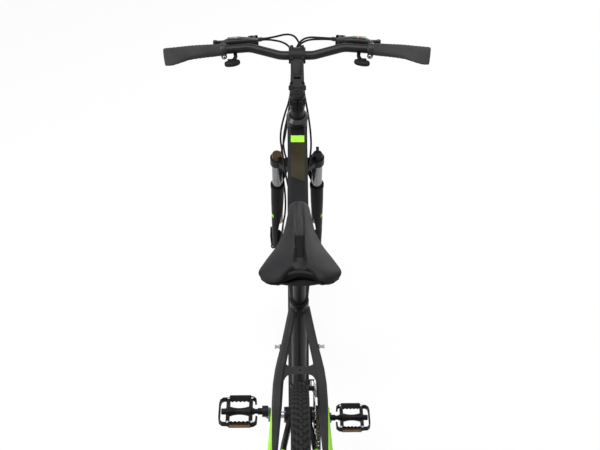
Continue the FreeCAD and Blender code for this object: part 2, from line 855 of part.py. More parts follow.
def stem_arm():
    """Tilting arm: a boss on the pivot, a tapered body and the split bar clamp."""
    pivot, centre = stem_pivot(), bar_centre()
    half = stem_width / 2 - stem_cheek_half - side_gap
    body = bar_plate(pivot, centre, stem_boss_radius, bar_clamp_radius - 5, -half, half)
    wide = bar_plate(pivot, centre, stem_boss_radius, bar_clamp_radius - 5, -stem_body_half, stem_body_half)
    wide = wide.cut(disc(-60, 60, stem_cheek_radius + stem_shoulder_gap, pivot))
    ring = disc(-bar_clamp_width / 2, bar_clamp_width / 2, bar_clamp_radius, centre)
    arm = fuse([body, wide, ring]).cut(rod(Vector(0, 0, 0), Vector(0, 0, 900), stem_clamp_radius + 1.0))
    arm = arm.cut(disc(-half - 1, half + 1, stem_pin_radius + running_gap, pivot))
    arm = arm.cut(disc(-60, 60, bar_radius, centre))
    along = (centre - pivot).normalize()
    ahead = centre + along * (bar_clamp_radius - 3)
    upward = Vector(0, -along.z, along.y)
    bolts = []
    for side in (-1, 1):
        for rise in (-1, 1):
            start = ahead + Vector(side * 13, 0, 0) + upward * (rise * 13.5) - along * 8
            bolts.append(rod(start, start + along * 12, 4.0))
    arm = fuse([arm] + bolts).cut(disc(-60, 60, bar_radius, centre))
    return in_fork(arm)


def bar_point(x, forward, up):
    """Point given from the middle of the handlebar, in level directions."""
    return fork_frame.multVec(bar_centre()) + Vector(x, forward, up)


def bar_bends():
    return [bar_point(bar_flat_half, 0, 0), bar_point(bar_shoulder_x, bar_shoulder_forward, bar_rise),
            bar_point(bar_half_width, -bar_sweep, bar_rise)]


def handlebar():
    flat, shoulder, end = bar_bends()
    points = [left_point(end), left_point(shoulder), left_point(flat), flat, shoulder, end]
    return swept(points, bar_radius, 0.42, bar_bend_radius)


def left_point(point):
    return Vector(-point.x, point.y, point.z)


def bar_frame():
    """Right-hand control frame: X out along the bar, Y forward, Z up, at the clamp's place."""
    flat, shoulder, end = bar_bends()
    outward = (end - shoulder).normalize()
    forward = z_axis.cross(outward).normalize()
    place = shoulder + outward * ((pod_x - shoulder.x) / outward.x)
    return Placement(place, Rotation(outward, forward, z_axis, "XYZ"))


def on_bar(shape):
    placed = shape.copy()
    placed.Placement = bar_frame().multiply(placed.Placement)
    return placed


def grip_section(out, radius, wing, sag):
    """Grip section: round in front, drawn out behind into a palm wing."""
    points = []
    for index in range(grip_sides):
        angle = 2 * math.pi * index / grip_sides
        y, z = radius * math.cos(angle), radius * math.sin(angle)
        if y < 0:
            y, z = y * wing / radius, z - sag * (y / radius) ** 2
        points.append(Vector(out, y, z))
    return Part.makePolygon(points + points[:1])


def grip():
    """Right grip: slim at the thumb, with a palm wing towards the outer end."""
    start, end = grip_inner_x - pod_x, bar_end_out() + grip_cap
    run = end - start
    wires = [grip_section(start + run * share, radius, wing, sag) for share, radius, wing, sag in (
        (0.0, grip_radius, grip_radius, 0.0), (0.5, grip_radius + 1, grip_radius + 4, 1.0),
        (0.82, grip_radius + 2, grip_wing, 3.0), (0.97, grip_radius + 2, grip_wing, 4.0),
        (1.0, grip_radius, grip_wing - 3, 4.0))]
    body = lofted(wires)
    return on_bar(body.cut(rod(Vector(start - 1, 0, 0), Vector(bar_end_out(), 0, 0), bar_radius)))


def bar_end_out():
    """Distance from the control clamp to the bar's end, along the bar."""
    flat, shoulder, end = bar_bends()
    return (end - bar_frame().Base).Length


def control_pod():
    """Right clamp, gear housing with its barrel adjusters, and the lugs of the brake lever."""
    clamp = rod(Vector(-7, 0, 0), Vector(7, 0, 0), bar_radius + 4.5)
    ear = block(Vector(-6, -bar_radius - 9, -11), Vector(6, -8, -3))
    neck = block(Vector(-16, 8, -3), Vector(6, 20, 8))
    housing = lofted([
        Part.makePolygon(pod_ring(4, 13, 19, 4, 14)), Part.makePolygon(pod_ring(-14, 14, 34, 1.5, 17)),
        Part.makePolygon(pod_ring(-58, 15, 36, 1.5, 17)), Part.makePolygon(pod_ring(-92, 22, 36, 1.5, 13))])
    upper = block(Vector(-92, 26, 3), Vector(-68, 52, 7))
    lower = block(Vector(-92, 34, -14), Vector(-68, 52, -10))
    web = block(Vector(-92, 34, -14), Vector(-85, 52, 7))
    pin = rod(lever_pivot() - Vector(0, 0, 18), lever_pivot(), pin_radius)
    boss = rod(paddle_pivot() + Vector(0, 0, 16), paddle_pivot(), 6.0)
    post = rod(paddle_pivot() + Vector(0, 0, 2), paddle_pivot() - Vector(0, 0, paddle_thickness + 1),
               pin_radius)
    barrels = [rod(spot + Vector(12, 0, 0), spot, 4.0) for spot in (brake_outlet(), shift_outlet())]
    pod = fuse([clamp, ear, neck, housing, upper, lower, web, pin, boss, post] + barrels)
    return on_bar(pod.cut(rod(Vector(-130, 0, 0), Vector(40, 0, 0), bar_radius)))


def pod_ring(out, near, far, low, high):
    """Bevelled section of the gear housing across the bar, as a closed row of points."""
    bevel = 3.0
    points = [(near + bevel, low), (far - bevel, low), (far, low + bevel), (far, high - bevel),
              (far - bevel, high), (near + bevel, high), (near, high - bevel), (near, low + bevel)]
    row = [Vector(out, y, z) for y, z in points]
    return row + row[:1]


def lever_pivot():
    return Vector(-76, 44, 6)


def paddle_pivot():
    return Vector(-30, 18, -12)


def brake_outlet():
    return Vector(-104, 43, -3)


def shift_outlet():
    return Vector(-104, 29, 7)


def brake_lever():
    """Right brake lever: an eye on the pin and a curved two-finger blade with a ball tip."""
    pivot = lever_pivot()
    low, high = -9.6, 2.6
    eye = rod(Vector(pivot.x, pivot.y, low), Vector(pivot.x, pivot.y, high), 7.0)
    spine = [(0, 2), (25, 6), (50, 7), (lever_length - 16, 3), (lever_length, 5)]
    front = [Vector(pivot.x + x, pivot.y + y + 3.5, low + 2) for x, y in spine]
    back = [Vector(pivot.x + x, pivot.y + y - 4.5, low + 2) for x, y in reversed(spine)]
    blade = Part.Face(Part.makePolygon(front + back + front[:1])).extrude(Vector(0, 0, 8.0))
    end = Vector(pivot.x + lever_length, pivot.y + 4.5, low + 1)
    tip = rod(end, end + Vector(0, 0, 10), 5.5)
    lever = fuse([eye, blade, tip])
    bore = rod(Vector(pivot.x, pivot.y, low - 5), Vector(pivot.x, pivot.y, high + 5),
               pin_radius + running_gap)
    return on_bar(lever.cut(bore))


def shift_paddle():
    """Right thumb paddle: a disc under the housing, an arm beneath the bar and a ribbed pad."""
    pivot = paddle_pivot()
    top = pivot.z - 0.3
    low = top - paddle_thickness
    disc_part = rod(Vector(pivot.x, pivot.y, low), Vector(pivot.x, pivot.y, top), 7.0)
    arm_points = [(-6, 0), (6, 0), (9, -34), (18, -44), (-2, -44), (-4, -30)]
    corners = [Vector(pivot.x + x, pivot.y + y, low) for x, y in arm_points]
    arm = Part.Face(Part.makePolygon(corners + corners[:1])).extrude(Vector(0, 0, top - low))
    pad_points = [(-4, -36), (24, -36), (31, -42), (28, -52), (4, -54), (-5, -48)]
    corners = [Vector(pivot.x + x, pivot.y + y, low - 8) for x, y in pad_points]
    pad = Part.Face(Part.makePolygon(corners + corners[:1])).extrude(Vector(0, 0, 8 + paddle_thickness))
    paddle = fuse([disc_part, arm, pad])
    bore = rod(Vector(pivot.x, pivot.y, low - 5), Vector(pivot.x, pivot.y, top + 5),
               pin_radius + running_gap)
    return on_bar(paddle.cut(bore))


# Wheels, axles and brakes

def tyre(centre):
    """Hollow tyre: a round carcass whose beads sit between the rim's flanges."""
    ring = wheel_radius - tyre_width / 2
    bead = rim_width / 2 - rim_wall
    cavity = tyre_width / 2 - tyre_wall
    outer_foot = ring - math.sqrt((tyre_width / 2) ** 2 - bead ** 2)
    inner_bead = bead - tyre_wall
    inner_foot = ring - math.sqrt(cavity ** 2 - inner_bead ** 2)
    left_half = [Vector(-bead, outer_foot, 0), Vector(-bead, rim_seat_radius, 0),
                 Vector(-inner_bead, rim_seat_radius, 0), Vector(-inner_bead, inner_foot, 0)]
    corners = left_half + [left_point(corner) for corner in reversed(left_half)]
    edges = [Part.LineSegment(a, b).toShape() for a, b in zip(corners[:3], corners[1:4])]
    edges.append(Part.Arc(corners[3], Vector(0, ring + cavity, 0), corners[4]).toShape())
    edges += [Part.LineSegment(a, b).toShape() for a, b in zip(corners[4:7], corners[5:8])]
    edges.append(Part.Arc(corners[7], Vector(0, wheel_radius, 0), corners[0]).toShape())
    return turned(Part.Wire(edges), centre)


def rim(centre):
    """Rim with two bead flanges and a tapered well."""
    half = rim_width / 2
    seat, top = rim_seat_radius, rim_seat_radius + rim_flange_height
    bed = half - rim_wall
    right_half = [(bed, seat), (bed, top), (half, top), (half, seat - 4), (half * 0.5, seat - rim_depth)]
    left_half = [(-x, radius) for x, radius in reversed(right_half)]
    return turned(right_half + left_half, centre)


def disc_plane(hub_width, inset):
    return -(hub_width / 2 - inset)


def hub(centre, left_end, right_end, disc_x, left_flange, right_flange, axle_radius):
    """Hub shell with two spoke flanges and a face for the brake disc."""
    bore = axle_radius + running_gap
    face = disc_x + disc_thickness / 2
    half, rise, barrel = flange_thickness / 2, flange_bolt_radius + 1.5, hub_barrel_radius
    return turned([(left_end, bore), (left_end, disc_bore - 0.5), (face, disc_bore - 0.5),
                   (face, disc_bore + 5), (face + 5, disc_bore + 5), (face + 5, barrel),
                   (-left_flange - half, barrel),
                   (-left_flange - half, rise), (-left_flange + half, rise), (-left_flange + half, barrel),
                   (right_flange - half, barrel), (right_flange - half, rise), (right_flange + half, rise),
                   (right_flange + half, barrel), (right_end, barrel), (right_end, bore)], centre)


def spokes(centre, left_flange, right_flange):
    """Crossed spokes: every second one lies outside its flange and leans the other way."""
    solids = []
    per_side = spoke_count // 2
    lift = flange_thickness / 2 + spoke_radius + spoke_lift
    for side, flange in ((1, right_flange), (-1, left_flange)):
        for index in range(per_side):
            rim_angle = 2 * math.pi * (index + (0.0 if side > 0 else 0.5)) / per_side
            outside = 1 if index % 2 == 0 else -1
            hub_angle = rim_angle + outside * math.radians(spoke_cross_angle)
            start = polar(side * (flange + outside * lift), flange_bolt_radius, hub_angle)
            end = polar(side * 3.0, rim_seat_radius - rim_depth - 0.4, rim_angle)
            solids.append(rod(centre + start, centre + end, spoke_radius))
    return solids


def polar(x, radius, angle):
    return Vector(x, radius * math.cos(angle), radius * math.sin(angle))


def brake_disc(centre, x):
    """Brake disc: an outer band, an inner ring and slanted arms between them."""
    low, high = x - disc_thickness / 2, x + disc_thickness / 2
    band = disc(low, high, disc_radius, centre, disc_radius - disc_band)
    ring = disc(low, high, disc_bore + 11, centre, disc_bore)
    arms = []
    for index in range(disc_arm_count):
        angle = 2 * math.pi * index / disc_arm_count
        root = centre + polar(0, disc_bore + 8, angle)
        tip = centre + polar(0, disc_radius - disc_band + 3, angle + 0.45)
        arms.append(bar_plate(root, tip, 4.0, 3.0, low, high))
    return fuse([band, ring] + arms)


def quick_release(hub_width, radius, lever_angle):
    """Axle with locknuts and a skewer, about the origin; its pin carries the lever."""
    half = hub_width / 2
    face = half + dropout_thickness
    pieces = [disc(-face + 0.5, face - 0.5, radius), disc(-face - lever_stand, face + 2, skewer_radius),
              disc(face, face + 12, locknut_radius), disc(-face - 6, -face, locknut_radius)]
    pieces += both_sides(disc(half - locknut_width, half, locknut_radius))
    pin = rod(Vector(-face - lever_stand, -8, 0), Vector(-face - lever_stand, 8, 0), cam_pin_radius)
    pin.rotate(Vector(0, 0, 0), x_axis, -lever_angle)
    return fuse(pieces + [pin])


def quick_release_lever(hub_width, lever_angle):
    """Cam lever: two cheeks on the skewer's pin and a curved blade."""
    pivot_x = -(hub_width / 2 + dropout_thickness + lever_stand)
    cheeks = [rod(Vector(0, side * 3.2, 0), Vector(0, side * 7.2, 0), 7.0, cam_pin_radius + running_gap)
              for side in (-1, 1)]
    outline = [(-6, 3.4), (3, 3.4), (3, 12), (0, 30), (-2, 56), (-8, 58), (-9, 30), (-7, 12)]
    corners = [Vector(x, -7.2, z) for x, z in outline]
    blade = Part.Face(Part.makePolygon(corners + corners[:1])).extrude(Vector(0, 14.4, 0))
    lever = fuse(cheeks + [blade.cut(rod(Vector(0, -9, 0), Vector(0, 9, 0), cam_pin_radius + running_gap))])
    lever.translate(Vector(pivot_x, 0, 0))
    lever.rotate(Vector(0, 0, 0), x_axis, -lever_angle)
    return lever


def caliper_box(angle, near, far, half, x_from, x_to):
    """Slab across the disc's edge: radial from near to far, about one direction."""
    out = Vector(0, math.cos(angle), math.sin(angle))
    side = Vector(0, -math.sin(angle), math.cos(angle))
    corners = [out * near - side * half, out * far - side * half, out * far + side * half,
               out * near + side * half]
    return plate([(corner.y, corner.z) for corner in corners], x_from, x_to)


def caliper(disc_x, angle, post_feet):
    """Brake caliper about the axle: two halves over the disc, a pin for the arm, and mounting posts."""
    near, far, half = disc_radius - caliper_depth, disc_radius + caliper_cover, caliper_half
    outer, inner = disc_x - caliper_outer, disc_x + caliper_inner
    pieces = [caliper_box(angle, near, far, half, outer, disc_x - pad_back),
              caliper_box(angle, near, far, half, disc_x + pad_back, inner),
              caliper_box(angle, disc_radius + 4, far, half, outer, inner),
              disc(outer - 5.5, outer + 2, caliper_pin_radius, caliper_centre(angle))]
    for share, foot in zip((0.15, 0.85), post_feet):
        out = Vector(0, math.cos(angle), math.sin(angle)) * (near + (far - near) * share)
        start = Vector(outer + 6, out.y, out.z)
        pieces.append(rod(start, Vector(outer + 6, foot.y, foot.z), 4.5))
    slot = caliper_box(angle, 0, disc_radius + 4, 60.0, disc_x - pad_back, disc_x + pad_back)
    body = fuse(pieces).cut(slot)
    pads = [caliper_box(angle, near + 6, disc_radius - 1, 13.0, disc_x + side * pad_front,
                        disc_x + side * pad_back) for side in (-1, 1)]
    return [body] + pads


def caliper_centre(angle):
    return polar(0, disc_radius - 8, angle)


def caliper_arm(disc_x, angle, arm_angle):
    """Lever on the caliper's pin that the cable pulls."""
    pivot = caliper_centre(angle)
    tip = pivot + polar(0, caliper_arm_length, arm_angle)
    high = disc_x - caliper_outer - side_gap
    arm = bar_plate(pivot, tip, 8.0, 4.5, high - 4.0, high)
    return arm.cut(disc(high - 9, high + 5, caliper_pin_radius + running_gap, pivot))


def moved(shape, offset):
    placed = shape.copy()
    placed.translate(offset)
    return placed


def rear_caliper(left_stay):
    """Rear caliper on two posts that stand on the left chain stay."""
    along = Vector(0, stay_run, -bottom_bracket_drop).normalize()
    angle = math.radians(rear_caliper_angle)
    near, far = disc_radius - caliper_depth, disc_radius + caliper_cover
    feet = [along * (polar(0, near + (far - near) * share, angle).dot(along)) for share in (0.15, 0.85)]
    body, *pads = caliper(disc_plane(rear_hub_width, rear_disc_inset), angle, feet)
    body = fuse([moved(body, rear_axle), housing_stop(rear_brake_route())]).cut(left_stay)
    return [body] + [moved(pad, rear_axle) for pad in pads]


def in_axle_of_fork(shape):
    """Place a shape drawn about the front axle, with the fork upright."""
    return in_fork(moved(shape, Vector(0, fork_rake, 0)))


def front_caliper(lowers):
    """Front caliper behind the left leg, on two posts."""
    angle = math.radians(front_caliper_angle)
    near, far = disc_radius - caliper_depth, disc_radius + caliper_cover
    leg_line = stanchion_offset - fork_rake
    feet = [Vector(0, leg_line, polar(0, near + (far - near) * share, angle).z) for share in (0.15, 0.85)]
    solids = caliper(disc_plane(front_hub_width, front_disc_inset), angle, feet)
    body, *pads = [in_axle_of_fork(solid) for solid in solids]
    return [fuse([body, housing_stop(front_brake_route())]).cut(lowers)] + pads


# Crank, chain and gears

def ring_x(index):
    return chain_line + (driven_ring - index) * ring_spacing


def sprocket_x(index):
    return chain_line + (driven_sprocket - index) * sprocket_pitch


def crank_direction(side):
    angle = math.radians(crank_angle)
    return Vector(0, math.cos(angle), math.sin(angle)) * (1 if side < 0 else -1)


def pedal_centre(side):
    return bracket + crank_direction(side) * crank_length


def crank_arm(side):
    """Crank arm that leans out from the spindle to the pedal."""
    end = pedal_centre(side)
    inner_x = crank_root_x
    outer_x = crank_pedal_face - crank_thickness / 2
    along = crank_direction(side)
    wires = []
    for share, x, width in ((0.02, inner_x, 31.0), (0.12, inner_x, 30.0), (0.98, outer_x, 24.0)):
        centre = bracket + (end - bracket) * share + Vector(x, 0, 0)
        wires.append(station(centre, along, bevelled(crank_thickness, width, 4.0)))
    boss = disc(inner_x - crank_thickness / 2 - 3, inner_x + crank_thickness / 2 + 1, 17.0, bracket)
    eye = disc(crank_pedal_face - crank_thickness, crank_pedal_face, 13.5, end)
    arm = fuse([lofted(wires), boss, eye])
    arm = arm.cut(disc(0, 100, spindle_radius, bracket))
    return arm.cut(disc(crank_pedal_face - crank_thickness - 4, crank_pedal_face + 1,
                        pedal_axle_radius + 1, end))


def crank_arms():
    """Left arm, and the right arm with its five-armed spider and inner-ring posts."""
    back = ring_x(0) - ring_thickness / 2
    front = ring_x(1) + ring_thickness / 2
    pieces = [crank_arm(1), disc(front, crank_root_x, 18.0, bracket)]
    for spot_angle in spider_angles():
        eye = bracket + polar(0, ring_bolt_radius, spot_angle)
        pieces.append(bar_plate(bracket, eye, 18.0, 8.5, front, back))
        post = bracket + polar(0, inner_ring_bolt_radius, spot_angle)
        pieces.append(disc(ring_x(2) + ring_thickness / 2, front + 1, 4.5, post))
    right = fuse(pieces).cut(disc(0, 100, spindle_radius, bracket))
    return [left_of(crank_arm(-1)), right]


def spider_angles():
    return [math.radians(crank_angle + 36 + 72 * index) for index in range(5)]


def chainrings(phases):
    """Three toothed rings and the caps of the bolts that hold the outer two."""
    bores = [ring_bolt_radius - 7, ring_bolt_radius - 7, inner_ring_bolt_radius - 6]
    solids = [toothed(teeth, ring_x(index), ring_thickness, bracket, phases[index], bores[index])
              for index, teeth in enumerate(ring_teeth)]
    for angle in spider_angles():
        spot = bracket + polar(0, ring_bolt_radius, angle)
        outer = ring_x(0) + ring_thickness / 2
        inner = ring_x(1) - ring_thickness / 2
        solids.append(disc(outer, outer + 1.6, 5.5, spot))
        solids.append(disc(inner - 1.0, inner, 5.5, spot))
    return solids


def crank_axles():
    """Spindle and the two pedal axles that screw into the arms."""
    spindle = disc(-crank_root_x - 6, crank_root_x + 6, spindle_radius, bracket)
    axles = []
    for side in (-1, 1):
        end = pedal_centre(side)
        screw = disc(crank_pedal_face - crank_thickness, crank_pedal_face, pedal_axle_radius + 1, end)
        collar_part = disc(crank_pedal_face, pedal_inner_x - 1.5, 8.0, end)
        shaft = disc(pedal_inner_x - 1.5, pedal_inner_x + pedal_width - 12, pedal_axle_radius, end)
        axle = fuse([screw, collar_part, shaft])
        axles.append(axle if side > 0 else left_of(axle))
    return [spindle] + axles


def cassette(phase):
    """Sprockets on the freewheel body, which turns on the axle."""
    first, last = sprocket_x(len(sprocket_teeth) - 1), sprocket_x(0)
    core = disc(hub_right_end + side_gap, last + 3.5, freehub_radius, rear_axle)
    pieces = [core]
    for index, teeth in enumerate(sprocket_teeth):
        turn = phase if index == driven_sprocket else 0.0
        pieces.append(toothed(teeth, sprocket_x(index), sprocket_thickness, rear_axle, turn,
                              freehub_radius - 2))
    body = fuse(pieces)
    return body.cut(disc(first - 30, last + 30, rear_axle_radius + running_gap, rear_axle))


def guide_pulley_centre():
    return rear_axle + Vector(0, guide_pulley_forward, -guide_pulley_drop)


def tension_pulley_centre(cage_angle):
    return guide_pulley_centre() + polar(0, cage_length, cage_angle)


def chain_route(cage_angle):
    """Closed route of the chain: tangents and arcs round ring, pulleys and sprocket."""
    wheels = [(bracket, pitch_radius(driven_teeth), 1),
              (tension_pulley_centre(cage_angle), pitch_radius(pulley_teeth), 1),
              (guide_pulley_centre(), pitch_radius(pulley_teeth), -1),
              (rear_axle, pitch_radius(sprocket_teeth[driven_sprocket]), 1)]
    tangents = []
    for (a, radius_a, turn_a), (b, radius_b, turn_b) in zip(wheels, wheels[1:] + wheels[:1]):
        offset = turn_a * radius_a - turn_b * radius_b
        gap = (b - a).Length
        lean = math.atan2(b.z - a.z, b.y - a.y) - math.asin(offset / gap)
        left = Vector(0, -math.sin(lean), math.cos(lean))
        tangents.append((a + left * (turn_a * radius_a), b + left * (turn_b * radius_b)))
    pieces = []
    for index, (centre, radius, turn) in enumerate(wheels):
        arrive = tangents[index - 1][1] - centre
        leave = tangents[index][0] - centre
        start = math.atan2(arrive.z, arrive.y)
        sweep = turn * (start - math.atan2(leave.z, leave.y)) % (2 * math.pi)
        pieces.append((radius * sweep, centre, radius, start, -turn))
        pieces.append(((tangents[index][1] - tangents[index][0]).Length,) + tangents[index])
    return pieces


def route_point(pieces, distance):
    """Point of the chain's route at a distance from its start on the ring."""
    for piece in pieces:
        if distance <= piece[0] or piece is pieces[-1]:
            break
        distance -= piece[0]
    if len(piece) == 3:
        length, start, end = piece
        return start + (end - start) * (distance / length)
    length, centre, radius, start, turn = piece
    return centre + polar(0, radius, start + turn * distance / radius)


def chain_rollers(pieces):
    """Roller centres one pitch apart along the route, and the count of pitches that it holds."""
    total = sum(piece[0] for piece in pieces)
    distance, rollers = 0.0, [route_point(pieces, 0.0)]
    while True:
        step = distance + chain_pitch
        for attempt in range(6):
            step += chain_pitch - (route_point(pieces, min(step, total)) - rollers[-1]).Length
        if step >= total - 0.5 * chain_pitch:
            last = (rollers[0] - rollers[-1]).Length
            return rollers, len(rollers) - 1 + last / chain_pitch
        rollers.append(route_point(pieces, step))
        distance = step


def settle_cage():
    """Cage angle at which the chain closes on an even number of links."""
    low, high = math.radians(cage_angle_range[0]), math.radians(cage_angle_range[1])
    wanted = 2 * round(chain_rollers(chain_route((low + high) / 2))[1] / 2)
    rising = chain_rollers(chain_route(high))[1] > chain_rollers(chain_route(low))[1]
    for attempt in range(40):
        middle = (low + high) / 2
        longer = chain_rollers(chain_route(middle))[1] > wanted
        if longer == rising:
            high = middle
        else:
            low = middle
    return middle


def gullet_phase(rollers, centre, teeth):
    """Angle of a roller that lies on a toothed wheel."""
    pitch = pitch_radius(teeth)
    on_wheel = [r for r in rollers if abs((r - centre).Length - pitch) < 0.02]
    spot = on_wheel[len(on_wheel) // 2] - centre
    return math.atan2(spot.z, spot.y)


def chain_link(half_inner, half_outer, rollers):
    """Pair of link plates from one roller to the next, with the rollers of an inner link."""
    outline = [(-4.4, 0), (-1.8, 4), (chain_pitch + 1.8, 4), (chain_pitch + 4.4, 0), (chain_pitch + 1.8, -4),
               (-1.8, -4)]
    plates = [plate(outline, half_inner, half_outer), plate(outline, -half_outer, -half_inner)]
    if not rollers:
        return plates
    for y in (0.0, chain_pitch):
        angles = [k * math.pi / 3 for k in range(6)]
        corners = [(y + chain_roller_radius * math.cos(angle), chain_roller_radius * math.sin(angle))
                   for angle in angles]
        plates.append(plate(corners, -half_inner, half_inner))
    return [fuse(plates)]


def chain(rollers):
    """Inner and outer links in turn round the whole route."""
    inner = chain_link(chain_inner_half, chain_inner_half + chain_plate, True)
    outer = chain_link(chain_inner_half + chain_plate + 0.1, chain_inner_half + 2 * chain_plate + 0.1, False)
    solids = []
    for index, roller in enumerate(rollers):
        after = rollers[(index + 1) % len(rollers)]
        lean = math.degrees(math.atan2(after.z - roller.z, after.y - roller.y))
        place = Placement(roller + Vector(chain_line, 0, 0), Rotation(x_axis, lean))
        for solid in (inner if index % 2 == 0 else outer):
            link = solid.copy()
            link.Placement = place
            solids.append(link)
    return solids


def sector(inner, outer, from_angle, to_angle, x_from, x_to):
    """Curved slab about the bottom bracket, between two radii and two angles."""
    middle = (from_angle + to_angle) / 2

    def at(radius, angle):
        return bracket + polar(x_from, radius, math.radians(angle))

    edges = [Part.Arc(at(outer, from_angle), at(outer, middle), at(outer, to_angle)).toShape(),
             Part.LineSegment(at(outer, to_angle), at(inner, to_angle)).toShape(),
             Part.Arc(at(inner, to_angle), at(inner, middle), at(inner, from_angle)).toShape(),
             Part.LineSegment(at(inner, from_angle), at(outer, from_angle)).toShape()]
    return Part.Face(Part.Wire(edges)).extrude(Vector(x_to - x_from, 0, 0))


def front_derailleur_cage():
    """Two curved plates that steer the chain, hung from the seat tube's band."""
    pivot = front_pivot()
    teeth_top = pitch_radius(ring_teeth[0]) + tooth_above_pitch
    top = teeth_top + cage_plate_depth
    outer_x, inner_x = chain_line + cage_half + 1.0, chain_line - cage_half - 1.0
    plates = [sector(teeth_top + 3, top, 92, 140, chain_line + cage_half, outer_x),
              sector(teeth_top - 12, top, 96, 140, inner_x, chain_line - cage_half),
              sector(top - 3, top, 97, 124, inner_x, outer_x)]
    lug = rod(pivot - Vector(0, 8.7, 0), pivot + Vector(0, 8.7, 0), 6.5)
    seat = top * 0.93
    outline = [(pivot.x - 4, pivot.z), (pivot.x + 5, pivot.z + 4), (outer_x - 1, bracket.z + seat + 4),
               (outer_x - 1, bracket.z + seat - 4), (inner_x + 1, bracket.z + seat - 4)]
    corners = [Vector(x, pivot.y - 8.7, z) for x, z in outline]
    link = Part.Face(Part.makePolygon(corners + corners[:1])).extrude(Vector(0, 17.4, 0))
    cage = fuse(plates + [lug, link])
    return cage.cut(rod(pivot - Vector(0, 20, 0), pivot + Vector(0, 20, 0), pin_radius + running_gap))


def knuckle_pivot():
    """Lower pivot of the rear mechanism's link."""
    return guide_pulley_centre() + Vector(derailleur_pivot_x, 0, derailleur_pivot_rise)


def hanger_pivot():
    """Upper pivot of the rear mechanism's link, fixed to the frame."""
    angle = math.radians(derailleur_link_angle)
    return knuckle_pivot() + Vector(-math.sin(angle), 0, math.cos(angle)) * derailleur_link_length


def hanger_knuckle():
    """Fixed upper part of the rear mechanism, bolted to the tail of the right dropout."""
    outer = rear_hub_width / 2 + dropout_thickness
    pivot = hanger_pivot()
    top = hanger_point()
    foot_top = top.z - 11.0
    strap = bar_plate(top, Vector(0, pivot.y, foot_top - 6), 9.0, 6.0, outer, outer + 5)
    foot = block(Vector(pivot.x - 5, pivot.y - 5.7, pivot.z), Vector(outer + 5, pivot.y + 5.7, foot_top))
    lug = rod(pivot - Vector(0, 5.7, 0), pivot + Vector(0, 5.7, 0), 5.0)
    bolt = disc(rear_hub_width / 2, outer + 7, hanger_bolt_radius, top)
    knuckle = fuse([strap, foot, lug, bolt])
    return knuckle.cut(rod(pivot - Vector(0, 9, 0), pivot + Vector(0, 9, 0), 3.0 + running_gap))


def derailleur_link():
    """Pair of swinging plates on two pins."""
    upper, lower = hanger_pivot(), knuckle_pivot()
    along = (lower - upper).normalize()
    across = Vector(along.z, 0, -along.x)
    pieces = []
    for side in (-1, 1):
        near, far = Vector(0, side * 6.1, 0), Vector(0, side * 9.6, 0)
        corners = [upper + across * 5 + near, lower + across * 5 + near, lower - across * 5 + near,
                   upper - across * 5 + near]
        web = Part.Face(Part.makePolygon(corners + corners[:1])).extrude(far - near)
        pieces += [web, rod(upper + near, upper + far, 6.0), rod(lower + near, lower + far, 6.0)]
    for pivot in (upper, lower):
        pieces.append(rod(pivot - Vector(0, 9.6, 0), pivot + Vector(0, 9.6, 0), 3.0))
    return fuse(pieces)


def derailleur_body():
    """Lower knuckle: a lug on the link's pin and a barrel whose stub carries the cage."""
    pivot, guide = knuckle_pivot(), guide_pulley_centre()
    plate_out = chain_line + cage_half + cage_plate
    lug = rod(pivot - Vector(0, 5.7, 0), pivot + Vector(0, 5.7, 0), 6.0)
    neck = block(Vector(pivot.x - 14, pivot.y - 5.7, guide.z - 4),
                 Vector(pivot.x + 6, pivot.y + 5.7, pivot.z))
    barrel = disc(plate_out + side_gap, pivot.x - 9, 9.0, guide)
    stub = disc(chain_line + cage_half, plate_out + 2, 5.0, guide)
    body = fuse([lug, neck, barrel, stub])
    return body.cut(rod(pivot - Vector(0, 9, 0), pivot + Vector(0, 9, 0), 3.0 + running_gap))


def derailleur_cage(cage_angle):
    """Two plates with the pins of the jockey wheels between them."""
    guide, tension = guide_pulley_centre(), tension_pulley_centre(cage_angle)
    outer = bar_plate(guide, tension, 12.0, 10.0, chain_line + cage_half, chain_line + cage_half + cage_plate)
    inner = bar_plate(guide, tension, 12.0, 10.0, chain_line - cage_half - cage_plate, chain_line - cage_half)
    outer = outer.cut(disc(chain_line, chain_line + 20, 5.0 + running_gap, guide))
    guide_pin = disc(chain_line - cage_half - 1, chain_line + cage_half - 0.4, pulley_pin_radius, guide)
    tension_pin = disc(chain_line - cage_half - 1, chain_line + cage_half + 1, pulley_pin_radius, tension)
    return fuse([outer, inner, guide_pin, tension_pin])


def pulley(centre, phase):
    """Jockey wheel: eleven teeth on a wider hub."""
    bore = pulley_pin_radius + running_gap
    wheel = toothed(pulley_teeth, chain_line, pulley_thickness, centre, phase, bore)
    middle = disc(chain_line - cage_half + 0.6, chain_line + cage_half - 0.6, 7.5, centre, bore)
    return fuse([wheel, middle])


# Pedals

def cage_ring(inset):
    """Outline of a right pedal's cage from above: cut inner corners and a narrower outer end."""
    inner, outer, half = pedal_inner_x + inset, pedal_inner_x + pedal_width - inset, pedal_length / 2 - inset
    edge = [(inner + 4, half - 12), (inner + 14, half), (outer - cage_nose, half), (outer - 9, half - 6),
            (outer, half - 16)]
    row = [Vector(x, y, -cage_ring_half) for x, y in edge + [(x, -y) for x, y in reversed(edge)]]
    return Part.Face(Part.makePolygon(row + row[:1])).extrude(Vector(0, 0, 2 * cage_ring_half))


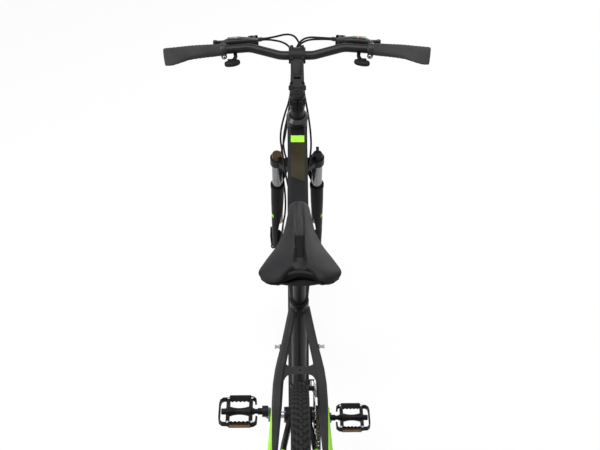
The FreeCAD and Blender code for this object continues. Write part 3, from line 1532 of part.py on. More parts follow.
def toothed_plate(start, end, y, thickness):
    """Upright cage plate with a row of teeth along its top and bottom edges."""
    high = pedal_height / 2
    low = high - tooth_depth
    pitch = (end - start) / pedal_tooth_count
    ridge = [(start, low)]
    for index in range(pedal_tooth_count):
        foot = start + index * pitch
        ridge += [(foot + pitch * 0.3, high), (foot + pitch * 0.7, high), (foot + pitch, low)]
    outline = ridge + [(x, -z) for x, z in reversed(ridge)]
    corners = [Vector(x, y, z) for x, z in outline]
    return Part.Face(Part.makePolygon(corners + corners[:1])).extrude(Vector(0, thickness, 0))


def pedal():
    """Right pedal about its axle: barrel, cage ring, two toothed plates and reflectors."""
    inner, outer, half = pedal_inner_x, pedal_inner_x + pedal_width, pedal_length / 2
    start, end = inner + 14, outer - cage_nose
    ring = cage_ring(0.0).cut(cage_ring(cage_wall))
    barrel = fuse([disc(inner, outer - 2, 10.5), disc(inner + 8, inner + 34, 12.5)])
    web = block(Vector(inner + 4, -half + 14, -5), Vector(inner + 11, half - 14, 5))
    plates = [toothed_plate(start, end, y, cage_wall) for y in (-half, half - cage_wall)]
    body = fuse([barrel, ring, web] + plates)
    body = body.cut(disc(inner - 1, outer - 11.5, pedal_axle_radius + running_gap))
    middle = (start + end) / 2
    front = block(Vector(middle - 25, half, -6.5), Vector(middle + 25, half + 5, 6.5))
    rear = block(Vector(middle - 25, -half - 5, -6.5), Vector(middle + 25, -half, 6.5))
    return [body, rear, front]


def pedal_at(side):
    solids = [moved(solid, pedal_centre(side)) for solid in pedal()]
    return solids if side > 0 else [left_of(solid) for solid in solids]


# Seat post and saddle

def seat_post():
    """Post with a cross barrel that the saddle's clamp tilts on."""
    top = seat_point(saddle_station)
    post = rod(seat_point(seat_tube_length - post_insertion), seat_point(saddle_station - 9), post_radius)
    neck = rod(seat_point(saddle_station - 10), top, post_radius - 4.6)
    barrel = disc(-post_head_width / 2, post_head_width / 2, post_head_radius, top)
    return fuse([post, neck, barrel])


def saddle_rows():
    """Sections from tail to nose: place, half width, crown, edge drop, channel, thickness."""
    return [(0.000, 0.30, -7.0, 8.0, 0.0, 15.0), (0.045, 0.80, -3.0, 13.0, 1.0, 23.0),
            (0.100, 1.00, 0.0, 17.0, 3.0, 27.0), (0.250, 0.90, 0.0, 18.0, 5.0, 29.0),
            (0.430, 0.60, -3.0, 15.0, 6.0, 29.0), (0.620, 0.37, -5.0, 10.0, 5.0, 28.0),
            (0.800, 0.285, -6.0, 8.0, 3.0, 25.0), (0.950, 0.25, -8.0, 8.0, 0.0, 21.0),
            (1.000, 0.14, -12.0, 7.0, 0.0, 15.0)]


def saddle_tail():
    """Rearmost point of the saddle, at the height of its crown."""
    clamp = seat_point(saddle_station)
    return clamp + Vector(0, -saddle_clamp_back - 0.1 * saddle_length, saddle_top_height)


def saddle_section(row, lower):
    """Closed section across the saddle: the padded top, or the plate that carries it."""
    share, width, crown, drop, channel, thickness = row
    half = saddle_width / 2 * width
    place = saddle_tail() + Vector(0, share * saddle_length, crown)
    bottom = -thickness
    if lower:
        outline = [(0.82, bottom), (0.78, bottom - shell_plate), (-0.78, bottom - shell_plate),
                   (-0.82, bottom)]
    else:
        outline = [(0.82, bottom), (0.96, bottom * 0.55 - drop * 0.35), (1.0, -drop), (0.86, -drop * 0.52),
                   (0.60, -drop * 0.14), (0.30, 0.0), (0.16, -channel * 0.5), (0.0, -channel),
                   (-0.16, -channel * 0.5), (-0.30, 0.0), (-0.60, -drop * 0.14), (-0.86, -drop * 0.52),
                   (-1.0, -drop), (-0.96, bottom * 0.55 - drop * 0.35), (-0.82, bottom)]
    points = [place + Vector(half * a, 0, b) for a, b in outline]
    return Part.makePolygon(points + points[:1])


def saddle_pad():
    return lofted([saddle_section(row, False) for row in saddle_rows()])


def saddle_base():
    """Carrying plate, two bent rails and the clamp block on the seat post's barrel."""
    shell = lofted([saddle_section(row, True) for row in saddle_rows()])
    clamp = seat_point(saddle_station)
    rail_z = clamp.z + post_head_radius + rail_lift
    tail = saddle_tail()
    tail_spot = Vector(rail_spread + 8, tail.y + 0.10 * saddle_length, tail.z - 28)
    nose_spot = Vector(9, tail.y + 0.88 * saddle_length, tail.z - 29)
    right = swept([tail_spot, Vector(rail_spread + 3, tail.y + 0.2 * saddle_length, rail_z + 2),
                   Vector(rail_spread, tail.y + 0.3 * saddle_length, rail_z),
                   Vector(rail_spread, tail.y + 0.62 * saddle_length, rail_z), nose_spot], rail_radius)
    pad = saddle_pad()
    rails = [rail.cut(shell).cut(pad) for rail in both_sides(right)]
    block_low = Vector(-rail_spread - 5, clamp.y - 18, clamp.z + 2)
    block_high = Vector(rail_spread + 5, clamp.y + 18, rail_z + rail_radius + 3)
    holder = block(block_low, block_high).cut(disc(-60, 60, post_head_radius + running_gap, clamp))
    for rail in rails:
        holder = holder.cut(rail)
    return [shell] + rails + [holder]


# Cables and small fittings

def down_tube_point(share, x):
    """Middle of a housing under the down tube, at a share of its run and a place across."""
    front, rear = down_tube_ends()
    along = (rear - front).normalize()
    below = Vector(0, -along.z, along.y)
    if below.z > 0:
        below = below * -1.0
    stand = down_tube_height / 2 + cable_radius + side_gap
    return front + (rear - front) * share + below * stand + Vector(x, 0, 0)


def right_outlet(spot):
    return bar_frame().multVec(spot)


def leaving(spot):
    """First two points of a housing that leaves a right-hand barrel straight along it."""
    return [right_outlet(spot - Vector(side_gap, 0, 0)), right_outlet(spot - Vector(cable_lead, 0, 0))]


def head_point(x, forward, height):
    """Point beside the head tube: across, ahead of the steering axis and above the tube's foot."""
    return fork_frame.multVec(Vector(x, forward, head_bottom + height))


def steering_cables():
    """Three housings that swing from the controls to the first guide on the down tube."""
    ends = [down_tube_point(guide_shares[0] - cable_joint_share, x) for x in cable_x]
    rear_brake = leaving(brake_outlet()) + [
        bar_point(18, 75, 5), bar_point(-8, 81, -31), bar_point(-14, 71, -86), head_point(-16, 108, 119),
        head_point(-36, 69, 79), head_point(-45, 37, 43), head_point(-38, 7, 16),
        head_point(-30, -47, -18), ends[0]]
    rear_gear = leaving(shift_outlet()) + [
        bar_point(16, 63, 19), bar_point(-6, 69, -21), bar_point(-12, 59, -71), head_point(-14, 104, 136),
        head_point(-24, 65, 91), head_point(-35, 31, 61), head_point(-36, 4, 33),
        head_point(-21, -25, -2), head_point(-12, -50, -26), ends[1]]
    front_gear = [left_point(point) for point in leaving(shift_outlet())] + [
        bar_point(-12, 79, 23), bar_point(10, 89, -15), bar_point(15, 79, -66), head_point(16, 118, 136),
        head_point(27, 79, 97), head_point(35, 40, 57), head_point(36, 3, 23), head_point(22, -46, -21),
        ends[2]]
    return [swept(points, cable_radius) for points in (rear_brake, rear_gear, front_gear)]


def front_brake_route():
    """Points from the left lever, down ahead of the crown and inside the left leg to the caliper."""
    upper = [left_point(point) for point in leaving(brake_outlet())] + [
        bar_point(-26, 79, -5), bar_point(-8, 91, -41), bar_point(-10, 91, -91),
        head_point(-14, 142, 102), head_point(-20, 118, 54)]
    lower = [(-33, 66, 470), (-44, 68, 405), (-45, 68, 345), (-38, 70, 300), (-32, 44, 245), (-33, 18, 200),
             (-42, 0, 165)]
    angle = math.radians(front_caliper_angle)
    stop = caliper_centre(angle) + polar(0, caliper_half + stop_stand, angle - math.pi / 2)
    middle = disc_plane(front_hub_width, front_disc_inset) - caliper_outer + stop_inset
    lower.append((middle, fork_rake + stop.y, stop.z))
    return upper + [fork_frame.multVec(Vector(*spot)) for spot in lower]


def front_brake_cable():
    return swept(front_brake_route(), cable_radius)


def rear_brake_route():
    """Points under the down tube, below the bracket and along the left chain stay to the caliper."""
    angle = math.radians(rear_caliper_angle)
    middle = disc_plane(rear_hub_width, rear_disc_inset) - caliper_outer + stop_inset
    stop = rear_axle + polar(middle, disc_radius + caliper_cover + stop_stand, angle)
    return [down_tube_point(share, cable_x[0]) for share in guide_shares] + [
        Vector(-14, -28, 322), Vector(-15, -58, 280), Vector(-17, -84, 267), Vector(-21, -114, 270),
        Vector(-29, -155, 280), Vector(-37, -205, 292), Vector(-44, -262, 299), Vector(-52, -315, 304),
        Vector(-60, -346, 307), Vector(-67.5, -374, 326), Vector(-67, -403, 352), Vector(-63, -430, 374),
        stop]


def housing_stop(route):
    """Boss on a caliper that the end of a housing sits in."""
    before, end = route[-2], route[-1]
    along = (end - before).normalize()
    return rod(end + along * side_gap, end + along * (stop_stand + 7.0), cable_radius + 1.5)


def frame_cables():
    """Housings held under the down tube and the chain stays."""
    rear_gear = [down_tube_point(share, cable_x[1]) for share in guide_shares] + [
        Vector(-2, -28, 320), Vector(-1, -60, 273), Vector(3, -86, 260), Vector(16, -120, 266),
        Vector(27, -155, 280), Vector(37, -205, 292), Vector(44, -262, 299), Vector(52, -320, 306),
        Vector(58, -380, 314), Vector(65, -435, 319), Vector(72, -482, 320), Vector(76.5, -519.2, 315)]
    pivot = front_pivot()
    front_gear = [down_tube_point(share, cable_x[2]) for share in guide_shares] + [
        Vector(12, -28, 322), Vector(12, -58, 280.5), Vector(12, -84, 267), Vector(12, -114, 273),
        Vector(11, -136, 300), Vector(12, -150, 350), Vector(20.5, -150, 392),
        Vector(20.5, pivot.y - 11, pivot.z - 24), Vector(20.5, pivot.y - 11, pivot.z - 6.3)]
    return [swept(points, cable_radius) for points in (rear_brake_route(), rear_gear, front_gear)]


def frame_fittings(frame_stays, tube, cables):
    """Rack bolts on the seat stays, cable guides under the down tube and the rear hanger knuckle."""
    solids = []
    share, x, width = seat_stay_bends[rack_bolt_bend]
    root = seat_stay_point(share, x)
    reach = x + width / 2
    right_stay, left_stay = frame_stays[0], frame_stays[1]
    for side, stay_solid in ((1, right_stay), (-1, left_stay)):
        spacer = disc(side * (x + 2), side * (reach + 4), 5.0, root).cut(stay_solid)
        bolt = fuse([disc(side * (reach + 4), side * (reach + 9), 3.0, root),
                     disc(side * (reach + 9), side * (reach + 13), 4.2, root)])
        solids += [spacer, bolt]
    low, high = min(cable_x) - 6, max(cable_x) + 6
    front, rear = down_tube_ends()
    along = (rear - front).normalize()
    for guide_share in guide_shares:
        centre = down_tube_point(guide_share + 0.012, 0)
        across = [centre + x_axis * a + along.cross(x_axis) * b for a, b in
                  ((low, -5.5), (high, -5.5), (high, 5.5), (low, 5.5))]
        guide = Part.Face(Part.makePolygon(across + across[:1])).extrude(along * 10.0)
        guide = guide.cut(tube)
        for cable in cables:
            guide = guide.cut(cable)
        solids.append(guide)
    return solids + [hanger_knuckle()]


# Nodes

cage_angle = settle_cage()
rollers = chain_rollers(chain_route(cage_angle))[0]
ring_phases = [0.0, 0.0, 0.0]
ring_phases[driven_ring] = gullet_phase(rollers, bracket, driven_teeth)
sprocket_phase = gullet_phase(rollers, rear_axle, sprocket_teeth[driven_sprocket])

frame_dropouts = dropouts()
lower_stays = chain_stays(frame_dropouts)
upper_stays = seat_stays(frame_dropouts, lower_stays)
main_tube = down_tube()
held_cables = frame_cables()
save("head_tube", head_tube())
save("top_tube", top_tube())
save("down_tube", main_tube)
save("seat_tube", seat_tube())
save("chain_stays", lower_stays)
save("seat_stays", upper_stays)
save("dropouts", frame_dropouts)
save("bearing_cups", bearing_cups())
save("seat_tube_clamps", seat_tube_clamps())
save("frame_fittings", frame_fittings(upper_stays, main_tube, held_cables))
save("frame_cables", held_cables)
save("steering_cables", steering_cables())

lowers = fork_lowers()
save("fork_crown", fork_crown())
save("stanchions", stanchions())
save("preload_knob", preload_knob())
save("lockout_lever", lockout_lever())
save("fork_lowers", lowers)
save("front_brake_cable", front_brake_cable())

save("stem_base", stem_base())
save("stem_arm", stem_arm())
save("handlebar", handlebar())
save("grips", both_sides(grip()))
save("control_pods", both_sides(control_pod()))
for name, solid in (("brake_lever", brake_lever()), ("shift_paddle", shift_paddle())):
    save(name + "_right", solid)
    save(name + "_left", left_of(solid))

front_disc_x = disc_plane(front_hub_width, front_disc_inset)
rear_disc_x = disc_plane(rear_hub_width, rear_disc_inset)
front_hub_end = front_hub_width / 2 - locknut_width - side_gap
rear_hub_end = rear_hub_width / 2 - locknut_width - side_gap
front_hub = hub(front_axle, -front_hub_end, front_hub_end, front_disc_x, front_disc_flange_x, front_flange_x,
                front_axle_radius)
rear_hub = hub(rear_axle, -rear_hub_end, hub_right_end, rear_disc_x, rear_disc_flange_x, rear_flange_x,
               rear_axle_radius)
save("front_tyre", tyre(front_axle))
save("front_rim", rim(front_axle))
save("front_hub", [front_hub] + spokes(front_axle, front_disc_flange_x, front_flange_x))
save("front_rotor", brake_disc(front_axle, front_disc_x))
save("rear_tyre", tyre(rear_axle))
save("rear_rim", rim(rear_axle))
save("rear_hub", [rear_hub] + spokes(rear_axle, rear_disc_flange_x, rear_flange_x))
save("rear_rotor", brake_disc(rear_axle, rear_disc_x))

save("front_axle", in_axle_of_fork(quick_release(front_hub_width, front_axle_radius, front_lever_angle)))
save("front_axle_lever", in_axle_of_fork(quick_release_lever(front_hub_width, front_lever_angle)))
save("rear_axle", moved(quick_release(rear_hub_width, rear_axle_radius, rear_lever_angle), rear_axle))
save("rear_axle_lever", moved(quick_release_lever(rear_hub_width, rear_lever_angle), rear_axle))
save("front_caliper", front_caliper(lowers))
save("front_caliper_arm", in_axle_of_fork(caliper_arm(front_disc_x, math.radians(front_caliper_angle),
                                                      math.radians(front_arm_angle))))
save("rear_caliper", rear_caliper(lower_stays[1]))
save("rear_caliper_arm", moved(caliper_arm(rear_disc_x, math.radians(rear_caliper_angle),
                                           math.radians(rear_arm_angle)), rear_axle))

save("crank_axles", crank_axles())
save("crank_arms", crank_arms())
save("chainrings", chainrings(ring_phases))
save("chain", chain(rollers))
save("cassette", cassette(sprocket_phase))
save("pedal_left", pedal_at(-1))
save("pedal_right", pedal_at(1))
save("front_derailleur_cage", front_derailleur_cage())
save("derailleur_link", derailleur_link())
save("derailleur_body", derailleur_body())
save("derailleur_cage", derailleur_cage(cage_angle))
for name, centre in (("guide_pulley", guide_pulley_centre()),
                     ("tension_pulley", tension_pulley_centre(cage_angle))):
    save(name, pulley(centre, gullet_phase(rollers, centre, pulley_teeth)))

save("seatpost", seat_post())
save("saddle_base", saddle_base())
save("saddle_pad", saddle_pad())
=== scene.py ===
import math

import bmesh
import bpy
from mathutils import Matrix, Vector


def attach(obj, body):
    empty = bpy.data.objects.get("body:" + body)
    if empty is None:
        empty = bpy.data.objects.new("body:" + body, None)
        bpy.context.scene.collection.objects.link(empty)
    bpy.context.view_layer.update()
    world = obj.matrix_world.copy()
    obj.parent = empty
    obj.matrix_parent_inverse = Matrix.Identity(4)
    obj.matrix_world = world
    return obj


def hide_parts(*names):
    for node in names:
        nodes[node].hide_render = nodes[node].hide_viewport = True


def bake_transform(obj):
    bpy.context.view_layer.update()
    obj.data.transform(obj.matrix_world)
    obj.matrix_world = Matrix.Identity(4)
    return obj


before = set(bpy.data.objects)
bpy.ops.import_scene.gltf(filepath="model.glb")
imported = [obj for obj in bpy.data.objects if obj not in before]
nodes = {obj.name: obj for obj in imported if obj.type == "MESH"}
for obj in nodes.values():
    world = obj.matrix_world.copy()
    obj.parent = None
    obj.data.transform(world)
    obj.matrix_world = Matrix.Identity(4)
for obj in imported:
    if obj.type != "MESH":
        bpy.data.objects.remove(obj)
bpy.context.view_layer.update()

# Places on the bicycle, in metres: X to the rider's right, Y forward, Z up
rear_axle = Vector((0.0, -0.541, 0.352))
front_axle = Vector((0.0, 0.541, 0.352))
fork_foot = Vector((0.0, 0.49847, 0.3373))
fork_forward = Vector((0.0, 0.94512, 0.32672))
fork_up = Vector((0.0, -0.32672, 0.94512))
bar_side = Vector((0.18, 0.35909, 1.0884))
bar_out = Vector((0.986, -0.16672, 0.0))
bar_forward = Vector((0.16672, 0.986, 0.0))
saddle_tail = Vector((0.0, -0.41975, 1.00693))
pedal_middles = {"pedal_left": Vector((-0.1425, -0.2024, 0.42031)),
                 "pedal_right": Vector((0.1425, 0.022, 0.16489))}
forward = Vector((0.0, 1.0, 0.0))
upward = Vector((0.0, 0.0, 1.0))

# Driving sizes, in metres
saddle_length = 0.267
saddle_half_width = 0.0805
tyre_middle_radius = 0.332
tyre_radius = 0.02
nipple_seat_radius = 0.2926
spoke_hub_radius = 0.021
spoke_cross = math.radians(62.0)
spokes_per_side = 16
housing_radius = 0.0025
housing_sides = 12

# Cable housings: the points that pull each smooth line
rear_brake_loop = [
    (0.0842, 0.4189, 1.0854), (0.0688, 0.4215, 1.0854), (0.018, 0.4361, 1.0764), (-0.008, 0.4421, 1.0404),
    (-0.014, 0.4321, 0.9854), (-0.016, 0.4078, 0.9302), (-0.036, 0.384, 0.8797), (-0.045, 0.3655, 0.8352),
    (-0.038, 0.346, 0.7999), (-0.03, 0.306, 0.7501), (-0.014, 0.2685, 0.6978)]
rear_gear_loop = [
    (0.0819, 0.4051, 1.0954), (0.0665, 0.4077, 1.0954), (0.016, 0.4241, 1.0904), (-0.006, 0.4301, 1.0504),
    (-0.012, 0.4201, 1.0004), (-0.014, 0.3984, 0.945), (-0.024, 0.3763, 0.8897), (-0.035, 0.354, 0.8502),
    (-0.036, 0.3376, 0.8149), (-0.021, 0.3216, 0.7724), (-0.012, 0.3058, 0.7415), (-0.002, 0.2685, 0.6978)]
front_gear_loop = [
    (-0.0819, 0.4051, 1.0954), (-0.0665, 0.4077, 1.0954), (-0.012, 0.4401, 1.0944), (0.01, 0.4501, 1.0564),
    (0.015, 0.4401, 1.0054), (0.016, 0.4117, 0.9495), (0.027, 0.3876, 0.8999), (0.035, 0.3638, 0.8494),
    (0.036, 0.3399, 0.8052), (0.022, 0.308, 0.7476), (0.012, 0.2685, 0.6978)]
front_brake_loop = [
    (-0.0842, 0.4189, 1.0854), (-0.0688, 0.4215, 1.0854), (-0.026, 0.4401, 1.0664), (-0.008, 0.4521, 1.0304),
    (-0.01, 0.4521, 0.9804), (-0.014, 0.4455, 0.9252), (-0.02, 0.4385, 0.872), (-0.033, 0.4073, 0.8031),
    (-0.044, 0.4304, 0.7423), (-0.045, 0.45, 0.6856), (-0.038, 0.4666, 0.6437), (-0.032, 0.46, 0.5832),
    (-0.033, 0.4501, 0.5322), (-0.042, 0.4446, 0.4932), (-0.047, 0.4807, 0.3981)]
rear_brake_run = [
    (-0.014, 0.2679, 0.697), (-0.014, 0.0145, 0.3815), (-0.014, -0.028, 0.322), (-0.015, -0.058, 0.28),
    (-0.017, -0.084, 0.267), (-0.021, -0.114, 0.27), (-0.029, -0.155, 0.28), (-0.037, -0.205, 0.292),
    (-0.044, -0.262, 0.299), (-0.052, -0.315, 0.304), (-0.06, -0.346, 0.307), (-0.0675, -0.374, 0.326),
    (-0.067, -0.403, 0.352), (-0.063, -0.43, 0.374), (-0.0597, -0.4531, 0.393)]
rear_gear_run = [
    (-0.002, 0.2679, 0.697), (-0.002, 0.0145, 0.3815), (-0.002, -0.028, 0.32), (-0.001, -0.06, 0.273),
    (0.003, -0.086, 0.26), (0.016, -0.12, 0.266), (0.027, -0.155, 0.28), (0.037, -0.205, 0.292),
    (0.044, -0.262, 0.299), (0.052, -0.32, 0.306), (0.058, -0.38, 0.314), (0.065, -0.435, 0.319),
    (0.072, -0.482, 0.32), (0.0765, -0.5192, 0.315)]
front_gear_run = [
    (0.012, 0.2679, 0.697), (0.012, 0.0145, 0.3815), (0.012, -0.028, 0.322), (0.012, -0.058, 0.2805),
    (0.012, -0.084, 0.267), (0.012, -0.114, 0.273), (0.011, -0.136, 0.3), (0.012, -0.15, 0.35),
    (0.0205, -0.15, 0.392), (0.0205, -0.1444, 0.4143), (0.0205, -0.1444, 0.432)]

# Colours, linear red, green and blue
charcoal = (0.0115,) * 3
charcoal_light = (0.0235,) * 3
# Painted sheen: the lighter grey of the seat stays; the grips use it as their own lighter tone
stay_light = (0.046,) * 3
pitch = (0.002,) * 3
soot = (0.006, 0.006, 0.007)
soot_light = (0.013, 0.013, 0.014)
rubber_dark = (0.017, 0.017, 0.018)
tread_light = (0.024,) * 3
lime = (0.29, 0.63, 0.046)
lime_light = (0.36, 0.74, 0.075)
olive = (0.024, 0.021, 0.011)
olive_light = (0.04, 0.036, 0.021)
bronze = (0.035, 0.021, 0.01)
bronze_light = (0.075, 0.041, 0.016)
steel_dark = (0.26, 0.26, 0.27)
steel_light = (0.52, 0.52, 0.53)
brass_dark = (0.022, 0.019, 0.015)
brass_light = (0.115, 0.098, 0.072)
gunmetal = (0.045, 0.045, 0.048)
gunmetal_light = (0.12, 0.12, 0.125)
alloy_dark = (0.36, 0.36, 0.37)
alloy_light = (0.6, 0.6, 0.61)
slate_dark = (0.15, 0.152, 0.156)
slate_light = (0.26, 0.262, 0.266)
amber_dark = (0.11, 0.045, 0.006)
amber_light = (0.23, 0.105, 0.018)
orange_light = (0.75, 0.2, 0.03)
bone = (0.42, 0.38, 0.28)
bone_light = (0.58, 0.54, 0.42)


# Shared surface effects

patch_weight = 0.55
pebble_rim = 0.28


def shader_group(name, inputs, outputs):
    """Empty shader group with named sockets; returns its tree, input node and output node."""
    tree = bpy.data.node_groups.new(name, "ShaderNodeTree")
    for label, kind, value in inputs:
        socket = tree.interface.new_socket(label, in_out="INPUT", socket_type="NodeSocket" + kind)
        socket.default_value = value
    for label, kind in outputs:
        tree.interface.new_socket(label, in_out="OUTPUT", socket_type="NodeSocket" + kind)
    return tree, tree.nodes.new("NodeGroupInput"), tree.nodes.new("NodeGroupOutput")


def plug(tree, value, socket):
    """Link another node's output to a socket, or set a constant on it."""
    if isinstance(value, bpy.types.NodeSocket):
        tree.links.new(value, socket)
    else:
        socket.default_value = value


def fill(tree, node, **values):
    """Plug values into a node's inputs by name, with _ for a space."""
    for label, value in values.items():
        plug(tree, value, node.inputs[label.replace("_", " ")])
    return node


def added_node(tree, kind, **values):
    return fill(tree, tree.nodes.new("ShaderNode" + kind), **values)


def object_place(tree):
    return added_node(tree, "TexCoord").outputs["Object"]


def noise(tree, vector, scale, detail):
    return added_node(tree, "TexNoise", Vector=vector, Scale=scale, Detail=detail).outputs["Fac"]


def ramped(tree, value, low, high):
    """Spread a narrow span of a value over nought to one."""
    return added_node(tree, "MapRange", Value=value, From_Min=low, From_Max=high).outputs["Result"]


def mixed_colour(tree, share, first, second):
    node = added_node(tree, "Mix", Factor=share)
    node.data_type = "RGBA"
    sockets = [socket for socket in node.inputs if socket.type == "RGBA"]
    for socket, value in zip(sockets, (first, second)):
        plug(tree, value, socket)
    return [socket for socket in node.outputs if socket.type == "RGBA"][0]


def sums(tree, operation, first, second):
    """Math node on two numbers or outputs."""
    node = added_node(tree, "Math")
    node.operation = operation
    for socket, value in zip(node.inputs, (first, second)):
        plug(tree, value, socket)
    return node.outputs["Value"]


def mixed_value(tree, share, first, second):
    return sums(tree, "ADD", first, sums(tree, "MULTIPLY", share, sums(tree, "SUBTRACT", second, first)))


def speckled_group():
    """Cloudy colour and dullness with a fine speckle, for paint, plastic and metal."""
    tree, inside, outside = shader_group(
        "speckled_surface",
        [("Dark", "Color", (*soot, 1.0)), ("Light", "Color", (*soot_light, 1.0)), ("Patch Scale", "Float", 20.0),
         ("Speckle Scale", "Float", 900.0), ("Smooth", "Float", 0.3), ("Dull", "Float", 0.5)],
        [("Color", "Color"), ("Roughness", "Float"), ("Height", "Float")])
    place = object_place(tree)
    patch = ramped(tree, noise(tree, place, inside.outputs["Patch Scale"], detail=4.0), low=0.35, high=0.65)
    speckle = ramped(tree, noise(tree, place, inside.outputs["Speckle Scale"], detail=2.0), low=0.3, high=0.7)
    share = mixed_value(tree, patch_weight, speckle, patch)
    colour = mixed_colour(tree, share, inside.outputs["Dark"], inside.outputs["Light"])
    dullness = mixed_value(tree, share, inside.outputs["Smooth"], inside.outputs["Dull"])
    fill(tree, outside, Color=colour, Roughness=dullness, Height=speckle)
    return tree


def pebbled_group():
    """Raised pebbles, for leather and moulded grain."""
    tree, inside, outside = shader_group(
        "pebbled_surface", [("Scale", "Float", 700.0)], [("Height", "Float")])
    cells = added_node(tree, "TexVoronoi", Vector=object_place(tree), Scale=inside.outputs["Scale"])
    cells.feature = "DISTANCE_TO_EDGE"
    fill(tree, outside, Height=ramped(tree, cells.outputs["Distance"], low=0.0, high=pebble_rim))
    return tree


def paint_edge_group():
    """One where a place lies beyond a flat edge, nought before it; Both Sides mirrors the edge left and right."""
    tree, inside, outside = shader_group(
        "paint_edge",
        [("Direction", "Vector", (0.0, 0.0, 1.0)), ("Offset", "Float", 0.0), ("Both Sides", "Float", 0.0)],
        [("Mask", "Float")])
    split = added_node(tree, "SeparateXYZ", Vector=object_place(tree))
    across = split.outputs["X"]
    folded = sums(tree, "ABSOLUTE", across, 0.0)
    joined = added_node(tree, "CombineXYZ", X=mixed_value(tree, inside.outputs["Both Sides"], across, folded),
                        Y=split.outputs["Y"], Z=split.outputs["Z"])
    reach = added_node(tree, "VectorMath")
    reach.operation = "DOT_PRODUCT"
    tree.links.new(joined.outputs["Vector"], reach.inputs[0])
    tree.links.new(inside.outputs["Direction"], reach.inputs[1])
    fill(tree, outside, Mask=sums(tree, "GREATER_THAN", reach.outputs["Value"], inside.outputs["Offset"]))
    return tree


speckled = speckled_group()
pebbled = pebbled_group()
paint_edge = paint_edge_group()


# Finishes

finishes = {}


def placed_group(material, group, **values):
    """Put a shared effect in a material and set its inputs by name."""
    node = added_node(material.node_tree, "Group")
    node.node_tree = group
    return fill(material.node_tree, node, **values)


def field_mask(material, edges):
    """One inside all the edges of a painted field; an edge is (direction, offset, both sides)."""
    mask = 1.0
    for direction, offset, both in edges:
        edge = placed_group(material, paint_edge, Direction=direction, Offset=offset, Both_Sides=both)
        mask = sums(material.node_tree, "MULTIPLY", mask, edge.outputs["Mask"])
    return mask


def raised(tree, height, strength, depth):
    return added_node(tree, "Bump", Height=height, Strength=strength, Distance=depth)


def slanting_ridges(tree):
    """Fine ridges that run slantwise round a grip."""
    waves = added_node(tree, "TexWave", Vector=object_place(tree), Scale=62.0, Distortion=0.6)
    waves.bands_direction = "DIAGONAL"
    return raised(tree, waves.outputs["Fac"], strength=0.55, depth=0.0006).outputs["Normal"]


def blank_material(name):
    """New material, with its tree and its shader."""
    material = bpy.data.materials.new(name)
    material.use_nodes = True
    return material, material.node_tree, material.node_tree.nodes["Principled BSDF"]


def finish(name, dark, light, patch=18.0, speckle=900.0, smooth=0.35, dull=0.55, bump=0.08, depth=0.0002,
           metal=0.0, gloss=0.3, pebbles=0.0, ridged=False, fields=()):
    """Make a cloudy speckled finish and keep it by name; pebbles gives it moulded grain, ridged slanting ridges,
    and fields lays other colours inside their edges."""
    material, tree, shader = blank_material(name)

    def layer(dark, light, smooth, dull):
        return placed_group(material, speckled, Dark=(*dark, 1.0), Light=(*light, 1.0), Patch_Scale=patch,
                            Speckle_Scale=speckle, Smooth=smooth, Dull=dull)

    surface = layer(dark, light, smooth, dull)
    colour, dullness = surface.outputs["Color"], surface.outputs["Roughness"]
    for edges, *look in fields:
        mask = field_mask(material, edges)
        laid = layer(*look)
        colour = mixed_colour(tree, mask, colour, laid.outputs["Color"])
        dullness = mixed_value(tree, mask, dullness, laid.outputs["Roughness"])
    grain = placed_group(material, pebbled, Scale=pebbles) if pebbles else surface
    relief = raised(tree, grain.outputs["Height"], bump, depth)
    if ridged:
        fill(tree, relief, Normal=slanting_ridges(tree))
    fill(tree, shader, Base_Color=colour, Roughness=dullness, Normal=relief.outputs["Normal"], Metallic=metal,
         Specular_IOR_Level=gloss)
    finishes[name] = material


def beyond(direction, offset):
    """Edge square to a direction, at a distance along it."""
    return direction, offset, 0.0


def beyond_both(direction, offset):
    return direction, offset, 1.0


def lengthwise(start, end):
    """Edges across the bicycle at two places along it."""
    return [beyond((0.0, 1.0, 0.0), start), beyond((0.0, -1.0, 0.0), -end)]


def outer(offset):
    """Edge that leaves the middle of the bicycle bare."""
    return beyond_both((1.0, 0.0, 0.0), offset)


def inner(offset):
    """Edge that leaves both sides of the bicycle bare."""
    return beyond_both((-1.0, 0.0, 0.0), -offset)


def fork_edge(slope, height, sign):
    """Edge across a fork leg at a height above its foot, rising outwards by the slope."""
    level = fork_up.dot(fork_foot) + height
    return beyond_both((sign * slope, sign * fork_up.y, sign * fork_up.z), sign * level)


# Painted fields: edges, then dark and light colour, smoothness and dullness
lime_paint = (lime, lime_light, 0.3, 0.42)
tube_top = [inner(0.0165), beyond((0.0, -0.2922, 1.0), 0.83)]
tube_band = (lengthwise(0.229, 0.25) + tube_top, *lime_paint)
tube_panel = ([beyond((0.45, 1.0, 0.0), 0.1172), beyond((0.0, -1.0, 0.0), -0.229)] + tube_top,
              olive, olive_light, 0.1, 0.18)
stay_leaf = ([outer(0.061), beyond((0.0, 0.0, -1.0), -0.63), beyond_both((1.0, 0.0, 0.2302), 0.1725),
              beyond((0.0, -0.8, 0.6), 0.6416)], *lime_paint)
chain_stay_band = (lengthwise(-0.33, -0.233), *lime_paint)
leg_slant = ([fork_edge(0.4, 0.204, 1.0), fork_edge(0.4, 0.218, -1.0), outer(0.0665)], *lime_paint)
bolt_field = ([outer(0.0425), beyond((0.0, 0.0, 1.0), 0.6)], steel_dark, steel_light, 0.2, 0.34)
# Near-black floor in the deep middle of the saddle's channel
channel_near_black = (lengthwise(-0.352, -0.279) + [inner(0.0092)], pitch, soot, 0.7, 0.85)
channel_vinyl = ([inner(0.008), beyond((0.0, 1.0, 0.0), -0.279), beyond_both((-1.0, -0.075, 0.0), 0.0102)],
                 charcoal, charcoal_light, 0.28, 0.4)
pedal_axles = ([outer(0.08)], soot, charcoal, 0.3, 0.46)

